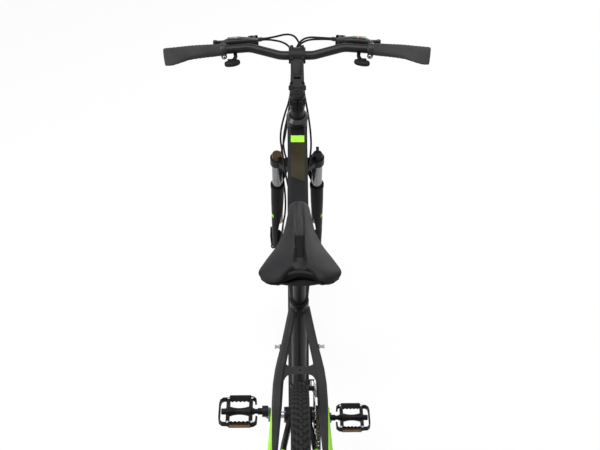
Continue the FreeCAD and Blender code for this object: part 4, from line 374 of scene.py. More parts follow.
finish("frame_charcoal", charcoal, charcoal_light, smooth=0.36, dull=0.52, gloss=0.1)
finish("tube_charcoal", soot, soot_light, smooth=0.36, dull=0.52, gloss=0.06, fields=[tube_band, tube_panel])
finish("chain_stay_charcoal", charcoal, charcoal_light, smooth=0.3, dull=0.44, bump=0.05,
       gloss=0.13, fields=[chain_stay_band])
# Seat stays: the frame's charcoal painted lighter as painted sheen; the lime leaves on them are real paint
finish("stay_charcoal", charcoal_light, stay_light, smooth=0.34, dull=0.48, gloss=0.14, fields=[stay_leaf])
finish("seat_tube_satin", soot, soot_light, smooth=0.34, dull=0.46, gloss=0.09)
finish("fork_satin", pitch, soot, smooth=0.32, dull=0.48, gloss=0.06, fields=[leg_slant])
finish("gloss_black", soot, soot_light, smooth=0.1, dull=0.18, bump=0.02, gloss=0.15)
finish("cover_gloss", soot, soot_light, smooth=0.05, dull=0.1, bump=0.02, gloss=0.5)
finish("anodised_black", soot, soot_light, smooth=0.28, dull=0.44, gloss=0.11)
finish("moulded_black", soot, soot_light, smooth=0.4, dull=0.58, bump=0.25, gloss=0.1, pebbles=1500.0)
finish("pod_black", soot_light, rubber_dark, smooth=0.24, dull=0.4, bump=0.12, gloss=0.2, pebbles=1500.0)
finish("pedal_black", pitch, soot, smooth=0.28, dull=0.46, bump=0.2, gloss=0.12, pebbles=1500.0)
finish("amber_lens", amber_dark, amber_light, patch=120.0, smooth=0.12, dull=0.24, bump=0.5,
       depth=0.0004, pebbles=520.0)
finish("fitting_black", soot, soot_light, smooth=0.3, dull=0.46, fields=[bolt_field])
finish("axle_steel", steel_dark, steel_light, smooth=0.24, dull=0.42, metal=1.0, fields=[pedal_axles])
finish("housing_black", soot, soot_light, smooth=0.36, dull=0.5, bump=0.05, gloss=0.11)
finish("tread_rubber", rubber_dark, tread_light, patch=60.0, smooth=0.6, dull=0.8, bump=0.3, gloss=0.05)
finish("tyre_rubber", soot, soot_light, patch=9.0, smooth=0.62, dull=0.85, bump=0.3, gloss=0.07)
finish("slate_tube", slate_dark, slate_light, smooth=0.14, dull=0.24, bump=0.03, metal=0.9)
finish("plain_steel", steel_dark, steel_light, smooth=0.24, dull=0.42, metal=1.0)
finish("ring_steel", gunmetal, gunmetal_light, smooth=0.26, dull=0.42, metal=1.0)
finish("chain_steel", brass_dark, brass_light, patch=170.0, smooth=0.3, dull=0.5, metal=1.0)
finish("satin_alloy", alloy_dark, alloy_light, smooth=0.28, dull=0.42, metal=1.0)
finish("bronze_knob", bronze, bronze_light, patch=90.0, smooth=0.25, dull=0.4, metal=0.5)
finish("saddle_leather", soot, rubber_dark, smooth=0.4, dull=0.58, bump=0.35, gloss=0.11,
       pebbles=900.0, fields=[channel_near_black, channel_vinyl])
finish("needle_orange", orange_light, orange_light, patch=120.0, smooth=0.2, dull=0.3, bump=0.03)
finish("bone_print", bone, bone_light, smooth=0.4, dull=0.5, bump=0.03)
finish("bumper_black", pitch, soot, smooth=0.16, dull=0.3, bump=0.05, gloss=0.07)
# Near-black and dull: painted shade, laid in the stem's slot and at the bottoms of the bolt sockets
finish("painted_shade_black", pitch, soot, smooth=0.7, dull=0.9, bump=0.1, gloss=0.01)
finish("window_black", soot, soot_light, smooth=0.04, dull=0.08, bump=0.0, gloss=0.5)
finish("grip_rubber", tread_light, stay_light, smooth=0.58, dull=0.78, bump=0.3, gloss=0.07,
       pebbles=1100.0, ridged=True)


def dress(look, *names):
    """Give CAD nodes a finish."""
    for name in names:
        slots = nodes[name].data.materials
        for index in range(len(slots)):
            slots[index] = finishes[look]
        if not slots:
            slots.append(finishes[look])


dress("frame_charcoal", "head_tube", "down_tube", "dropouts")
dress("chain_stay_charcoal", "chain_stays")
dress("tube_charcoal", "top_tube")
dress("stay_charcoal", "seat_stays")
dress("seat_tube_satin", "seat_tube")
dress("anodised_black", "seat_tube_clamps", "fork_crown", "stem_base", "stem_arm", "crank_arms", "seatpost",
      "front_caliper", "rear_caliper", "front_caliper_arm", "rear_caliper_arm", "derailleur_link",
      "derailleur_body", "lockout_lever", "front_axle_lever", "rear_axle_lever", "brake_lever_left",
      "brake_lever_right", "front_rim", "rear_rim")
dress("gloss_black", "handlebar")
dress("cover_gloss", "bearing_cups")
dress("slate_tube", "stanchions")
dress("fork_satin", "fork_lowers")
dress("bronze_knob", "preload_knob")
dress("moulded_black", "guide_pulley", "tension_pulley", "saddle_base")
dress("tyre_rubber", "front_tyre", "rear_tyre")
dress("satin_alloy", "front_hub", "rear_hub", "front_axle", "rear_axle")
dress("axle_steel", "crank_axles")
dress("ring_steel", "cassette", "chainrings")
dress("plain_steel", "front_rotor", "rear_rotor", "front_derailleur_cage", "derailleur_cage")
dress("fitting_black", "frame_fittings")
dress("chain_steel", "chain")


# Mesh tools

square = ((-1, -1), (1, -1), (1, 1), (-1, 1))


def turns(count):
    """Even angles round a full turn."""
    return [math.tau * step / count for step in range(count)]


def skin(mesh, rings, caps=(True, True)):
    """Join a row of closed rings into one skin, with a cap at each end that asks for one."""
    rows = [[mesh.verts.new(point) for point in ring] for ring in rings]
    for near, far in zip(rows, rows[1:]):
        for index in range(len(near)):
            after = (index + 1) % len(near)
            mesh.faces.new((near[index], near[after], far[after], far[index]))
    if caps[0]:
        mesh.faces.new(rows[0][::-1])
    if caps[1]:
        mesh.faces.new(rows[-1])


def turned(mesh, place, axis, profile, sides, caps=(True, True)):
    """Add a lathe-turned form; the profile is (height, radius) pairs up the axis, in millimetres."""
    turn = axis.to_track_quat("Z", "Y").to_matrix()
    skin(mesh, [[place + turn @ Vector((radius * math.cos(angle), radius * math.sin(angle), height)) / 1000.0
                 for angle in turns(sides)] for height, radius in profile], caps)


def socket_bolt(mesh, place, axis, radius, height):
    """Bolt head with a bevelled rim and a sunk socket, in millimetres."""
    turned(mesh, place, axis, [(0.0, radius), (height * 0.75, radius), (height, radius * 0.82),
                               (height, radius * 0.52), (height * 0.35, radius * 0.48)], 12)


def block(mesh, middle, sides, halves, taper):
    """Add a box along three given directions, by half sizes in millimetres; the taper narrows its top."""
    rings = []
    for level, share in ((-1.0, 1.0), (0.6, 1.0), (1.0, taper)):
        rings.append([middle + (sides[0] * (a * halves[0] * share) + sides[1] * (b * halves[1] * share)
                                + sides[2] * (level * halves[2])) / 1000.0 for a, b in square])
    skin(mesh, rings)


def added(name, data):
    item = bpy.data.objects.new(name, data)
    bpy.context.collection.objects.link(item)
    return item


def piece(name, mesh, look, body=None, sharp=40.0):
    """Make a mesh an object with a finish; it rides on the body if one is given."""
    bmesh.ops.recalc_face_normals(mesh, faces=mesh.faces)
    data = bpy.data.meshes.new(name)
    mesh.to_mesh(data)
    mesh.free()
    data.shade_smooth()
    data.set_sharp_from_angle(angle=math.radians(sharp))
    data.materials.append(finishes[look])
    item = added(name, data)
    if body:
        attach(item, body)
    return item


def eased(rows, share):
    """Smooth row of values at a share along a table whose first column is the share."""
    for index in range(len(rows) - 1):
        if share <= rows[index + 1][0]:
            break
    before, start = rows[max(index - 1, 0)], rows[index]
    end, after = rows[index + 1], rows[min(index + 2, len(rows) - 1)]
    span = end[0] - start[0]
    step = (share - start[0]) / span
    values = []
    for column in range(1, len(start)):
        lead = span * (end[column] - before[column]) / max(end[0] - before[0], span)
        trail = span * (after[column] - start[column]) / max(after[0] - start[0], span)
        drop = start[column] - end[column]
        values.append(start[column] + step * (lead + step * (-3 * drop - 2 * lead - trail
                                                             + step * (2 * drop + lead + trail))))
    return values


# Saddle

# Share from tail to nose, half-width share, then crown, drop of the edge, channel and thickness in millimetres
saddle_rows = [
    (0, 0.94, -7, 18, 4, 16), (0.03, 0.985, -3, 18, 7, 21), (0.08, 1, -0.5, 18, 9.5, 25),
    (0.14, 0.975, 0, 18, 10, 28), (0.25, 0.85, 0, 18, 10, 29), (0.43, 0.585, -3, 15, 9, 29),
    (0.54, 0.46, -4.2, 12.5, 5, 28.5), (0.62, 0.39, -5, 10.5, 3.2, 28), (0.8, 0.31, -6, 8.5, 2.4, 25),
    (0.93, 0.265, -7.5, 8.5, 1.4, 21.5), (0.985, 0.215, -10, 8, 0, 18), (1, 0.15, -13, 6, 0, 13)]
channel_floor = 0.0075
channel_wall = 0.0034
scallop_depth = 0.030
scallop_width = 0.030
tip_sweep = 0.024
tip_start = 0.55
tail_fade = 0.26
crown_power = 2.4
tip_power = 2.2
under_power = 3.0
under_rise = 0.55
under_inset = 0.97
# Share from tail to nose and squeeze of the sections that round the ends
tail_stations = [(0.0, 0.40), (0.003, 0.70), (0.010, 0.92)]
nose_stations = [(0.984, 0.95), (0.993, 0.8), (0.998, 0.6), (1.0, 0.4)]
bumper_middle = Vector((0.0, 0.0285, -0.0205))
bumper_bend = Vector((0.0, -0.016, -0.010))
bumper_half_width = 0.049
bumper_half_depth = 0.011
bumper_half_height = 0.0125


def saddle_across(half):
    """Shares across the saddle, closer together at the walls of the channel."""
    marks = [0.0, 0.5 * channel_floor, channel_floor]
    marks += [channel_floor + channel_wall * step / 4 for step in (1, 2, 3, 4)]
    marks = [mark / half for mark in marks if mark < 0.8 * half]
    rest = marks[-1]
    marks += [rest + (1.0 - rest) * step / 12 for step in range(1, 13)]
    return [-mark for mark in marks[:0:-1]] + marks


def channel_share(x):
    """One on the channel's floor, falling smoothly to nought at the top of its walls."""
    step = min(1.0, max(0.0, (abs(x) - channel_floor) / channel_wall))
    return 1.0 - step * step * (3.0 - 2.0 * step)


def saddle_ring(share, squeeze, across_marks):
    """Closed section of the saddle; squeeze thins it towards its middle height to round an end."""
    width, crown, drop, channel, thickness = eased(saddle_rows, share)
    half = saddle_half_width * width
    fade = max(0.0, 1.0 - share / tail_fade) ** 2
    upper, lower = [], []
    for index, across in enumerate(across_marks):
        x = across * half
        edge = crown - drop * abs(across) ** crown_power
        sweep = scallop_depth * math.exp(-((x / scallop_width) ** 4))
        sweep += tip_sweep * max(0.0, (abs(across) - tip_start) / (1.0 - tip_start)) ** tip_power
        y = share * saddle_length + sweep * fade
        middle = edge - thickness * 0.5
        top = edge - channel * channel_share(x)
        upper.append((x, y, middle + (top - middle) * squeeze))
        if 0 < index < len(across_marks) - 1 and index % 2 == 0:
            under = crown - drop * abs(across) ** under_power - thickness * (1.0 - under_rise * across ** 6)
            lower.append((x * under_inset, y, middle + (under - middle) * squeeze))
    return [saddle_tail + Vector((x, y, z / 1000.0)) for x, y, z in upper + lower[::-1]]


def saddle_cover():
    mesh = bmesh.new()
    middle_stations = [(0.022 + 0.953 * index / 64, 1.0) for index in range(65)]
    marks = saddle_across(saddle_half_width * 0.5)
    skin(mesh, [saddle_ring(share, squeeze, marks)
                for share, squeeze in tail_stations + middle_stations + nose_stations])
    cover = piece("saddle_cover", mesh, "saddle_leather", "saddle", 55.0)
    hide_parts("saddle_pad")


def saddle_bumper():
    """Glossy bumper under the hollow at the back of the saddle."""
    mesh = bmesh.new()
    rings = []
    for index in range(25):
        across = -1.0 + index / 12.0
        bow = math.sqrt(max(0.0, 1.0 - abs(across) ** 4)) * 0.96 + 0.04
        middle = saddle_tail + bumper_middle + bumper_bend * across ** 2
        rings.append([middle + Vector((across * bumper_half_width, bumper_half_depth * bow * math.cos(angle),
                                       bumper_half_height * bow * math.sin(angle))) for angle in turns(18)])
    skin(mesh, rings)
    piece("saddle_bumper", mesh, "bumper_black", "saddle", 60.0)


saddle_cover()
saddle_bumper()


# Handlebar furniture

def from_bar(side, out, ahead, up):
    """Place beside a grip from millimetres, mirrored to the left where the side is -1."""
    place = bar_side + (bar_out * out + bar_forward * ahead + upward * up) / 1000.0
    return Vector((place.x * side, place.y, place.z))


def bar_sides(side):
    """Directions outward along the bar, forward and up."""
    return Vector((bar_out.x * side, bar_out.y, 0.0)), Vector((bar_forward.x * side, bar_forward.y, 0.0)), upward


def from_fork(x, ahead, up):
    return fork_foot + Vector((x, 0.0, 0.0)) + fork_forward * ahead + fork_up * up


# Share along the grip, then front radius, wing behind, half height and sag in millimetres
grip_rows = [
    (0, 13.8, 13.8, 13.8, 0), (0.02, 14.8, 14.8, 14.8, 0), (0.3, 16.4, 17, 16.4, 0.2),
    (0.52, 17.4, 23.5, 16.8, 1.5), (0.72, 17, 37, 16, 4.5), (0.88, 17, 44.5, 15.4, 6.5),
    (0.97, 16.8, 44, 15, 6.5), (0.992, 16, 43, 13.8, 6.5), (1, 13.5, 40, 11, 6.5)]
grip_start = 7.0
grip_end = 144.8
grip_sides = 72
grip_steps = 110
ridge_pitch = 9.0
ridge_slant = 0.7
ridge_depth = 0.055
ridge_start = 0.12
ridge_fade = 0.10
ridge_end_fade = 0.04
lock_ring = [(0, 14), (0.3, 14.7), (1.2, 14.7), (1.5, 14)]


def grip_ring(side, share):
    """Section of a winged grip, with ridges that die out at its ends."""
    front, wing, half, sag = eased(grip_rows, share)
    out = grip_start + (grip_end - grip_start) * share
    depth = ridge_depth * min(1.0, max(0.0, (share - ridge_start) / ridge_fade)) * min(
        1.0, (1.0 - share) / ridge_end_fade)
    ring = []
    for angle in turns(grip_sides):
        ahead = math.cos(angle)
        ahead *= front if ahead > 0 else wing
        back = max(0.0, -ahead / wing)
        up = math.sin(angle) * half * (1.0 - 0.30 * back ** 2) - sag * back ** 2
        ridge = math.sin(math.tau * (out + ridge_slant * ahead) / ridge_pitch)
        ring.append(from_bar(side, out, ahead, up * (1.0 - depth * (0.5 + 0.5 * ridge))))
    return ring


def grip(name, side):
    mesh = bmesh.new()
    skin(mesh, [grip_ring(side, index / grip_steps) for index in range(grip_steps + 1)])
    cover = piece(name, mesh, "grip_rubber", "stem", 50.0)
    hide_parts("grips")


def lock_rings():
    mesh = bmesh.new()
    for side in (-1, 1):
        turned(mesh, from_bar(side, grip_start - 0.6, 0, 0), bar_sides(side)[0], lock_ring, 32)
    piece("grip_lock_rings", mesh, "ring_steel", "stem")


def gear_windows():
    """Dark lens on top of each control pod, with its row of ticks and an orange needle."""
    lens, ticks, needles = bmesh.new(), bmesh.new(), bmesh.new()
    for side in (-1, 1):
        sides = bar_sides(side)
        block(lens, from_bar(side, -31, 25, 16.4), sides, (15.5, 6.8, 1.2), 0.86)
        for index in range(8):
            block(ticks, from_bar(side, -43 + 3.4 * index, 27, 17.6), sides, (0.6, 2.8, 0.3), 0.8)
        block(needles, from_bar(side, -34.5, 24, 17.7), sides, (0.8, 4.2, 0.4), 0.7)
    piece("gear_windows", lens, "window_black", "stem", 30.0)
    piece("gear_ticks", ticks, "bone_print", "stem", 30.0)
    piece("gear_needles", needles, "needle_orange", "stem", 30.0)


def control_bolts():
    """Clamp bolts behind the bar, near-black discs of painted shade at the bottoms of their sockets, and the screws
    over the brake lever pins.
    """
    clamps, sockets, screws = bmesh.new(), bmesh.new(), bmesh.new()
    for side in (-1, 1):
        rearward = -bar_sides(side)[1]
        socket_bolt(clamps, from_bar(side, 0, -19.9, -9.6), rearward, 4.4, 2.6)
        # Near-black disc of painted shade at the bottom of each bolt's socket
        turned(sockets, from_bar(side, 0, -20.7, -9.6), rearward, [(0, 2), (0.8, 2)], 12)
        socket_bolt(screws, from_bar(side, *lever_pivot, 6.9), upward, 4.5, 2.2)
    piece("clamp_bolts", clamps, "satin_alloy", "stem")
    piece("clamp_socket_shade", sockets, "painted_shade_black", "stem")
    piece("lever_screws", screws, "anodised_black", "stem")


# Share from the clamp inwards, then near and far edges and low and high faces in millimetres
pod_rows = [
    (0, 14.5, 18, 6, 10), (0.02, 13.5, 19, 4.5, 12), (0.1, 13.3, 27, 2.2, 14.4),
    (0.2, 14, 33, 1.5, 16), (0.36, 14.5, 35, 1.5, 16.6), (0.56, 15, 36, 1.5, 15.6),
    (0.74, 17, 36, 1.5, 13), (0.9, 20.5, 35.5, 1.6, 9.6), (0.98, 23, 34, 2, 7.4),
    (1, 25.5, 32, 3.2, 6)]
pod_start = 4.0
pod_length = 96.0
pod_squareness = 0.62
pod_sides = 32
pod_steps = 40
lever_pivot = (-76.0, 44.0)
paddle_pivot = (-30.0, 18.0)
paddle_top = -12.3
paddle_thickness = 4.0
pad_middle = (-17.8, -30.0, -22.5)
pad_halves = (19.5, 10.8, 8.2)
pad_steps = 24
# Pivot, foot, top and radius of each post
pod_posts = [(lever_pivot, -12.0, 6.0, 2.5), (paddle_pivot, -12.0, 4.0, 6.0), (paddle_pivot, -17.0, -10.0, 2.5)]

# Outline of the paddle's arm, and turned profiles
paddle_arm = [(-4.5, -4.6), (4.5, -4.6), (6.0, -32.0), (12.0, -46.0), (2.0, -47.0), (-3.0, -30.0)]
paddle_eye = [(0, 2.6), (0, 7), (4, 7), (4, 2.6), (0, 2.6)]
pod_collar = [(-7, 11.2), (-7, 15), (-6.2, 15.6), (6.2, 15.6), (7, 15), (7, 11.2), (-7, 11.2)]
clamp_boss = [(0, 7), (11.2, 7), (12, 6.2)]
barrel_adjuster = [(0, 3), (4, 3), (4.2, 4.2), (6.6, 4.2), (7, 3.6), (7.6, 4.2), (11.8, 4), (13, 3.4)]


def turned_ring(mesh, place, axis, profile, sides):
    """Add a turned form with a hole, whose profile comes back to its start."""
    turned(mesh, place, axis, profile, sides, (False, False))
    bmesh.ops.remove_doubles(mesh, verts=mesh.verts, dist=0.000001)


def bar_box(mesh, side, low, high):
    """Box between two corners given beside the bar in millimetres."""
    middle = [(a + b) / 2.0 for a, b in zip(low, high)]
    halves = [(b - a) / 2.0 for a, b in zip(low, high)]
    block(mesh, from_bar(side, *middle), bar_sides(side), halves, 0.9)


def rounded(share, low, high):
    """Place between two faces along a squarish curve, by cosine or sine."""
    return math.copysign(abs(share) ** pod_squareness, share) * (high - low) / 2.0 + (high + low) / 2.0


def pod_section(side, share):
    """Rounded section of the gear housing."""
    near, far, low, high = eased(pod_rows, share)
    return [from_bar(side, pod_start - pod_length * share, rounded(math.cos(angle), near, far),
                     rounded(math.sin(angle), low, high)) for angle in turns(pod_sides)]


def control_pod(name, side):
    """Clamp round the bar, rounded gear housing with its barrel adjusters, and the lugs of the brake lever."""
    mesh = bmesh.new()
    outward, onward, _ = bar_sides(side)
    turned_ring(mesh, from_bar(side, 0, 0, 0), outward, pod_collar, 40)
    turned(mesh, from_bar(side, 0, -8, -9.6), -onward, clamp_boss, 24)
    bar_box(mesh, side, (-16, 8, -3), (6, 20, 8))
    skin(mesh, [pod_section(side, step / pod_steps) for step in range(pod_steps + 1)])
    bar_box(mesh, side, (-92, 26, 3), (-68, 52, 7))
    bar_box(mesh, side, (-92, 34, -14), (-68, 52, -10))
    bar_box(mesh, side, (-92, 34, -14), (-85, 52, 7))
    for pivot, foot, top, radius in pod_posts:
        turned(mesh, from_bar(side, *pivot, foot), upward, [(0, radius), (top - foot, radius)], 20)
    for ahead, up in ((43, -3), (29, 7)):
        turned(mesh, from_bar(side, -104, ahead, up), outward, barrel_adjuster, 20)
    pod = piece(name, mesh, "pod_black", "stem")
    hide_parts("control_pods")


def thumb_paddle(name, side):
    """Eye on the paddle's post, a thin arm beneath the bar and a rounded pad with ribs across its top."""
    mesh = bmesh.new()
    pivot_out, pivot_ahead = paddle_pivot
    low = paddle_top - paddle_thickness
    turned_ring(mesh, from_bar(side, *paddle_pivot, low), upward, paddle_eye, 28)
    skin(mesh, [[from_bar(side, pivot_out + x, pivot_ahead + y, height) for x, y in paddle_arm]
                for height in (low, paddle_top)])
    out, ahead, up = pad_middle
    rings = []
    for step in range(1, pad_steps):
        turn = math.pi * step / pad_steps
        reach, girth = -math.cos(turn), math.sin(turn) ** 0.55
        rings.append([from_bar(side, out + pad_halves[0] * reach,
                               ahead - 3.0 * reach + pad_halves[1] * girth * math.cos(angle),
                               up + pad_halves[2] * girth * math.sin(angle)) for angle in turns(pad_steps)])
    skin(mesh, rings)
    for index in range(5):
        block(mesh, from_bar(side, out, -24.0 - 3.0 * index, -14.6), bar_sides(side),
              (11.0 - 0.6 * index, 0.8, 0.9), 0.6)
    body = name.replace("thumb", "shift")
    paddle = piece(name, mesh, "moulded_black", body, 35.0)
    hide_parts(body)


# Stem, in metres forward and up along the steerer: arm pivot, reach to the bar and direction of its upper face
stem_pivot = (0.038, 0.701)
arm_reach = (0.072, 0.0377)
arm_lift = (-0.464, 0.886)


def stem_bolts():
    """Pinch bolts across the steerer clamp, the pivot bolts of the tilting arm and the top cap's bolt."""
    mesh = bmesh.new()
    for side in (-1, 1):
        outward = Vector((float(side), 0.0, 0.0))
        for height in (0.692, 0.710):
            socket_bolt(mesh, from_fork(side * 0.0108, -0.0205, height), outward, 4.2, 3)
        socket_bolt(mesh, from_fork(side * 0.0184, *stem_pivot), outward, 6, 3)
    socket_bolt(mesh, from_fork(0.0, 0.0, 0.7258), fork_up, 5.5, 2.4)
    piece("stem_bolts", mesh, "anodised_black", "steering")


def on_arm(x, share, lift):
    """Place over the tilting stem arm, by share from its pivot to the bar and lift above its middle line."""
    return from_fork(x, *(start + reach * share + rise * lift
                          for start, reach, rise in zip(stem_pivot, arm_reach, arm_lift)))


def stem_trim():
    """Raised panel, a near-black block of painted shade for the slot sunk into the top of the stem arm, and the
    bolts behind the bar clamp.
    """
    panel, slot, bolts = bmesh.new(), bmesh.new(), bmesh.new()
    along = (on_arm(0.0, 1.0, 0.0) - on_arm(0.0, 0.0, 0.0)).normalized()
    lift = (on_arm(0.0, 0.0, 1.0) - on_arm(0.0, 0.0, 0.0)).normalized()
    sides = (Vector((1.0, 0.0, 0.0)), along, lift)
    block(panel, on_arm(0.0, 0.56, 0.0138), sides, (10.5, 16, 1.6), 0.86)
    # Near-black block of painted shade where the slot is sunk into the arm
    block(slot, on_arm(0.0, 0.265, 0.0131), sides, (8.5, 3, 0.9), 0.8)
    for side in (-1, 1):
        socket_bolt(bolts, on_arm(side * 0.0135, 0.86, 0.0178), lift, 3.6, 3)
    piece("stem_panel", panel, "anodised_black", "stem", 30.0)
    piece("stem_slot_shade", slot, "painted_shade_black", "stem", 30.0)
    piece("stem_arm_bolts", bolts, "anodised_black", "stem")


grip("grip_left", -1)
grip("grip_right", 1)
lock_rings()
gear_windows()
control_bolts()
control_pod("control_pod_left", -1)
control_pod("control_pod_right", 1)
thumb_paddle("thumb_paddle_left", -1)
thumb_paddle("thumb_paddle_right", 1)
stem_bolts()
stem_trim()


# Cable housings

def housing_line(points):
    """Places read along the smooth spline that the points pull."""
    curve = bpy.data.curves.new("housing_line", "CURVE")
    curve.dimensions = "3D"
    spline = curve.splines.new("NURBS")
    spline.points.add(len(points) - 1)
    for point, place in zip(spline.points, points):
        point.co = (*place, 1.0)
    spline.order_u = 3
    spline.use_endpoint_u = True
    spline.resolution_u = 8
    holder = bpy.data.objects.new("housing_line", curve)
    line = bpy.data.meshes.new_from_object(holder)
    places = [vertex.co.copy() for vertex in line.vertices]
    bpy.data.objects.remove(holder)
    bpy.data.curves.remove(curve)
    bpy.data.meshes.remove(line)
    return places


def housing_rings(places):
    """Round sections along a line, turned from one to the next without twist."""
    rings = []
    side = Vector((1.0, 0.0, 0.0))
    for index, place in enumerate(places):
        along = (places[min(index + 1, len(places) - 1)] - places[max(index - 1, 0)]).normalized()
        side = (side - along * side.dot(along)).normalized()
        other = along.cross(side)
        rings.append([place + (side * math.cos(angle) + other * math.sin(angle)) * housing_radius
                      for angle in turns(housing_sides)])
    return rings


# Heights at which each housing is split into an upper and a lower stretch
frame_split = 0.930
fork_split = 0.860


def bent_housing(name, rings, node, caps):
    """Stretch of housing, baked in place and held by no body; the CAD node it stands in for is hidden."""
    mesh = bmesh.new()
    skin(mesh, rings, caps)
    stretch = piece(name, mesh, "housing_black")
    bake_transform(stretch)
    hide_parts(node)


def steering_housing(name, points, split, node):
    """Housing from a control pod, split at the first place below the split height into an upper and a lower
    stretch.
    """
    places = housing_line(points)
    rings = housing_rings(places)
    parting = next(index for index, place in enumerate(places) if place.z < split)
    bent_housing(name + "_upper", rings[:parting + 1], node, (True, False))
    bent_housing(name + "_lower", rings[parting:], node, (False, True))


for name, points in (("rear_brake_housing", rear_brake_loop), ("rear_gear_housing", rear_gear_loop),
                     ("front_gear_housing", front_gear_loop)):
    steering_housing(name, points, frame_split, "steering_cables")
steering_housing("front_brake_housing", front_brake_loop, fork_split, "front_brake_cable")


def frame_housings():
    mesh = bmesh.new()
    for points in (rear_brake_run, rear_gear_run, front_gear_run):
        skin(mesh, housing_rings(housing_line(points)))
    runs = piece("frame_housings", mesh, "housing_black", "frame")
    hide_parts("frame_cables")


frame_housings()


# Wheels

tread_pitches = 112
tread_half_height = 1.1
# Lean to the side in degrees, half length and half width in millimetres, and slant of the blocks in each row
tread_rows = [(-50.0, 8.0, 3.8, 0.5), (-25.0, 8.3, 3.5, 0.5), (0.0, 8.3, 3.1, 0.3), (25.0, 8.3, 3.5, -0.5),
              (50.0, 8.0, 3.8, -0.5)]
valve_place = 3.75
nipple_offset = 0.003
nipple_profile = [(-0.4, 2.4), (1.2, 2.1), (9, 1.9), (11.5, 1.3)]
valve_profile = [(-0.4, 7), (2.5, 7), (3, 4), (18, 3.6), (18.4, 4.8), (30, 4.6), (31, 3.4)]


def tread(name, centre, body):
    """Slanted rubber blocks in five rows round a tyre."""
    mesh = bmesh.new()
    for row, (lean, half_length, half_width, slant) in enumerate(tread_rows):
        tilt = math.radians(lean)
        for index in range(tread_pitches):
            angle = math.tau * (index + 0.5 * (row % 2)) / tread_pitches
            radial = Vector((0.0, math.cos(angle), math.sin(angle)))
            along = Vector((0.0, -math.sin(angle), math.cos(angle)))
            out = radial * math.cos(tilt) + Vector((math.sin(tilt), 0.0, 0.0))
            aside = out.cross(along)
            length = (along + aside * slant).normalized()
            width = out.cross(length)
            middle = centre + radial * tyre_middle_radius + out * tyre_radius
            block(mesh, middle, (length, width, out), (half_length, half_width, tread_half_height), 0.82)
    piece(name, mesh, "tread_rubber", body, 30.0)


def nipples(name, centre, left_flange, right_flange, body):
    """Spoke nipples at the rim, each in line with its spoke."""
    mesh = bmesh.new()
    for side, flange in ((1, right_flange), (-1, left_flange)):
        for index in range(spokes_per_side):
            rim_angle = math.tau * (index + (0.0 if side > 0 else 0.5)) / spokes_per_side
            outside = 1 if index % 2 == 0 else -1
            hub_angle = rim_angle + outside * spoke_cross
            seat = centre + Vector((side * nipple_offset, nipple_seat_radius * math.cos(rim_angle),
                                    nipple_seat_radius * math.sin(rim_angle)))
            hub = centre + Vector((side * flange, spoke_hub_radius * math.cos(hub_angle),
                                   spoke_hub_radius * math.sin(hub_angle)))
            turned(mesh, seat, (hub - seat).normalized(), nipple_profile, 8)
    piece(name, mesh, "satin_alloy", body)


def valve(name, centre, body):
    """Tyre valve with its collar and dust cap, pointing at the hub."""
    mesh = bmesh.new()
    angle = math.tau * valve_place / spokes_per_side
    radial = Vector((0.0, math.cos(angle), math.sin(angle)))
    turned(mesh, centre + radial * nipple_seat_radius, -radial, valve_profile, 14)
    piece(name, mesh, "moulded_black", body)


for end, centre, flanges in (("front", front_axle, (0.022, 0.030)), ("rear", rear_axle, (0.034, 0.017))):
    tread(end + "_tread", centre, end + "_wheel")
    nipples(end + "_nipples", centre, flanges[0], flanges[1], end + "_wheel")
    valve(end + "_valve", centre, end + "_wheel")


# Pedals

# Cage rail in the pedal's plane, in millimetres outward and forward of its middle
pedal_rail = [(-39, 27), (-38, 37), (-32, 43), (-26, 44.5), (22, 44.5), (28, 40), (39, 39.5), (45, 34), (47, 22),
              (47, -22), (45.5, -34), (40, -40), (28, -41), (22, -44.5), (-26, -44.5), (-34, -43), (-40, -37),
              (-41, -20)]
rail_half_thickness = 2.2
rail_half_height = 5.5
# Outward place and radius of the waisted body, in millimetres, from the end of its bore out and back along its skin
pedal_barrel = [(41.2, 0.2), (41.2, 6.5), (-36, 6.5), (-36, 7.6), (-30, 8.5), (-27, 12), (-22, 11.6),
                (-14, 9.4), (-5, 8.1), (5, 8.1), (14, 9.4), (22, 11.6), (27, 12), (30, 8.6), (33, 7.5),
                (42, 7.4), (43, 6.6)]
tooth_count = 5
tooth_steps = 8 * tooth_count
tooth_height = 3.0
plate_start = -25.0
plate_length = 48.0
plate_half_height = 5.6
plate_half_thickness = 1.5


def on_pedal(name, outward, ahead, up):
    """Place on a pedal from millimetres outward, forward and up of its middle."""
    middle = pedal_middles[name]
    return middle + Vector((math.copysign(1.0, middle.x) * outward, ahead, up)) / 1000.0


def pedal_rings(name):
    """Sections of the cage rail, square to its path."""
    rings = []
    for index, (outward, ahead) in enumerate(pedal_rail):
        before, after = pedal_rail[max(index - 1, 0)], pedal_rail[min(index + 1, len(pedal_rail) - 1)]
        along = Vector((after[0] - before[0], after[1] - before[1])).normalized()
        across = Vector((-along.y, along.x)) * rail_half_thickness
        rings.append([on_pedal(name, outward + across.x * a, ahead + across.y * a, rail_half_height * b)
                      for a, b in square])
    return rings


def toothed_plate(mesh, name, ahead):
    """Plate across the pedal whose upper and lower edges carry teeth for the shoe."""
    rings = []
    for step in range(tooth_steps + 1):
        share = step / tooth_steps
        half = plate_half_height + tooth_height * abs(math.sin(math.pi * tooth_count * share)) ** 1.5
        rings.append([on_pedal(name, plate_start + plate_length * share, ahead + a * plate_half_thickness, half * b)
                      for a, b in square])
    skin(mesh, rings)


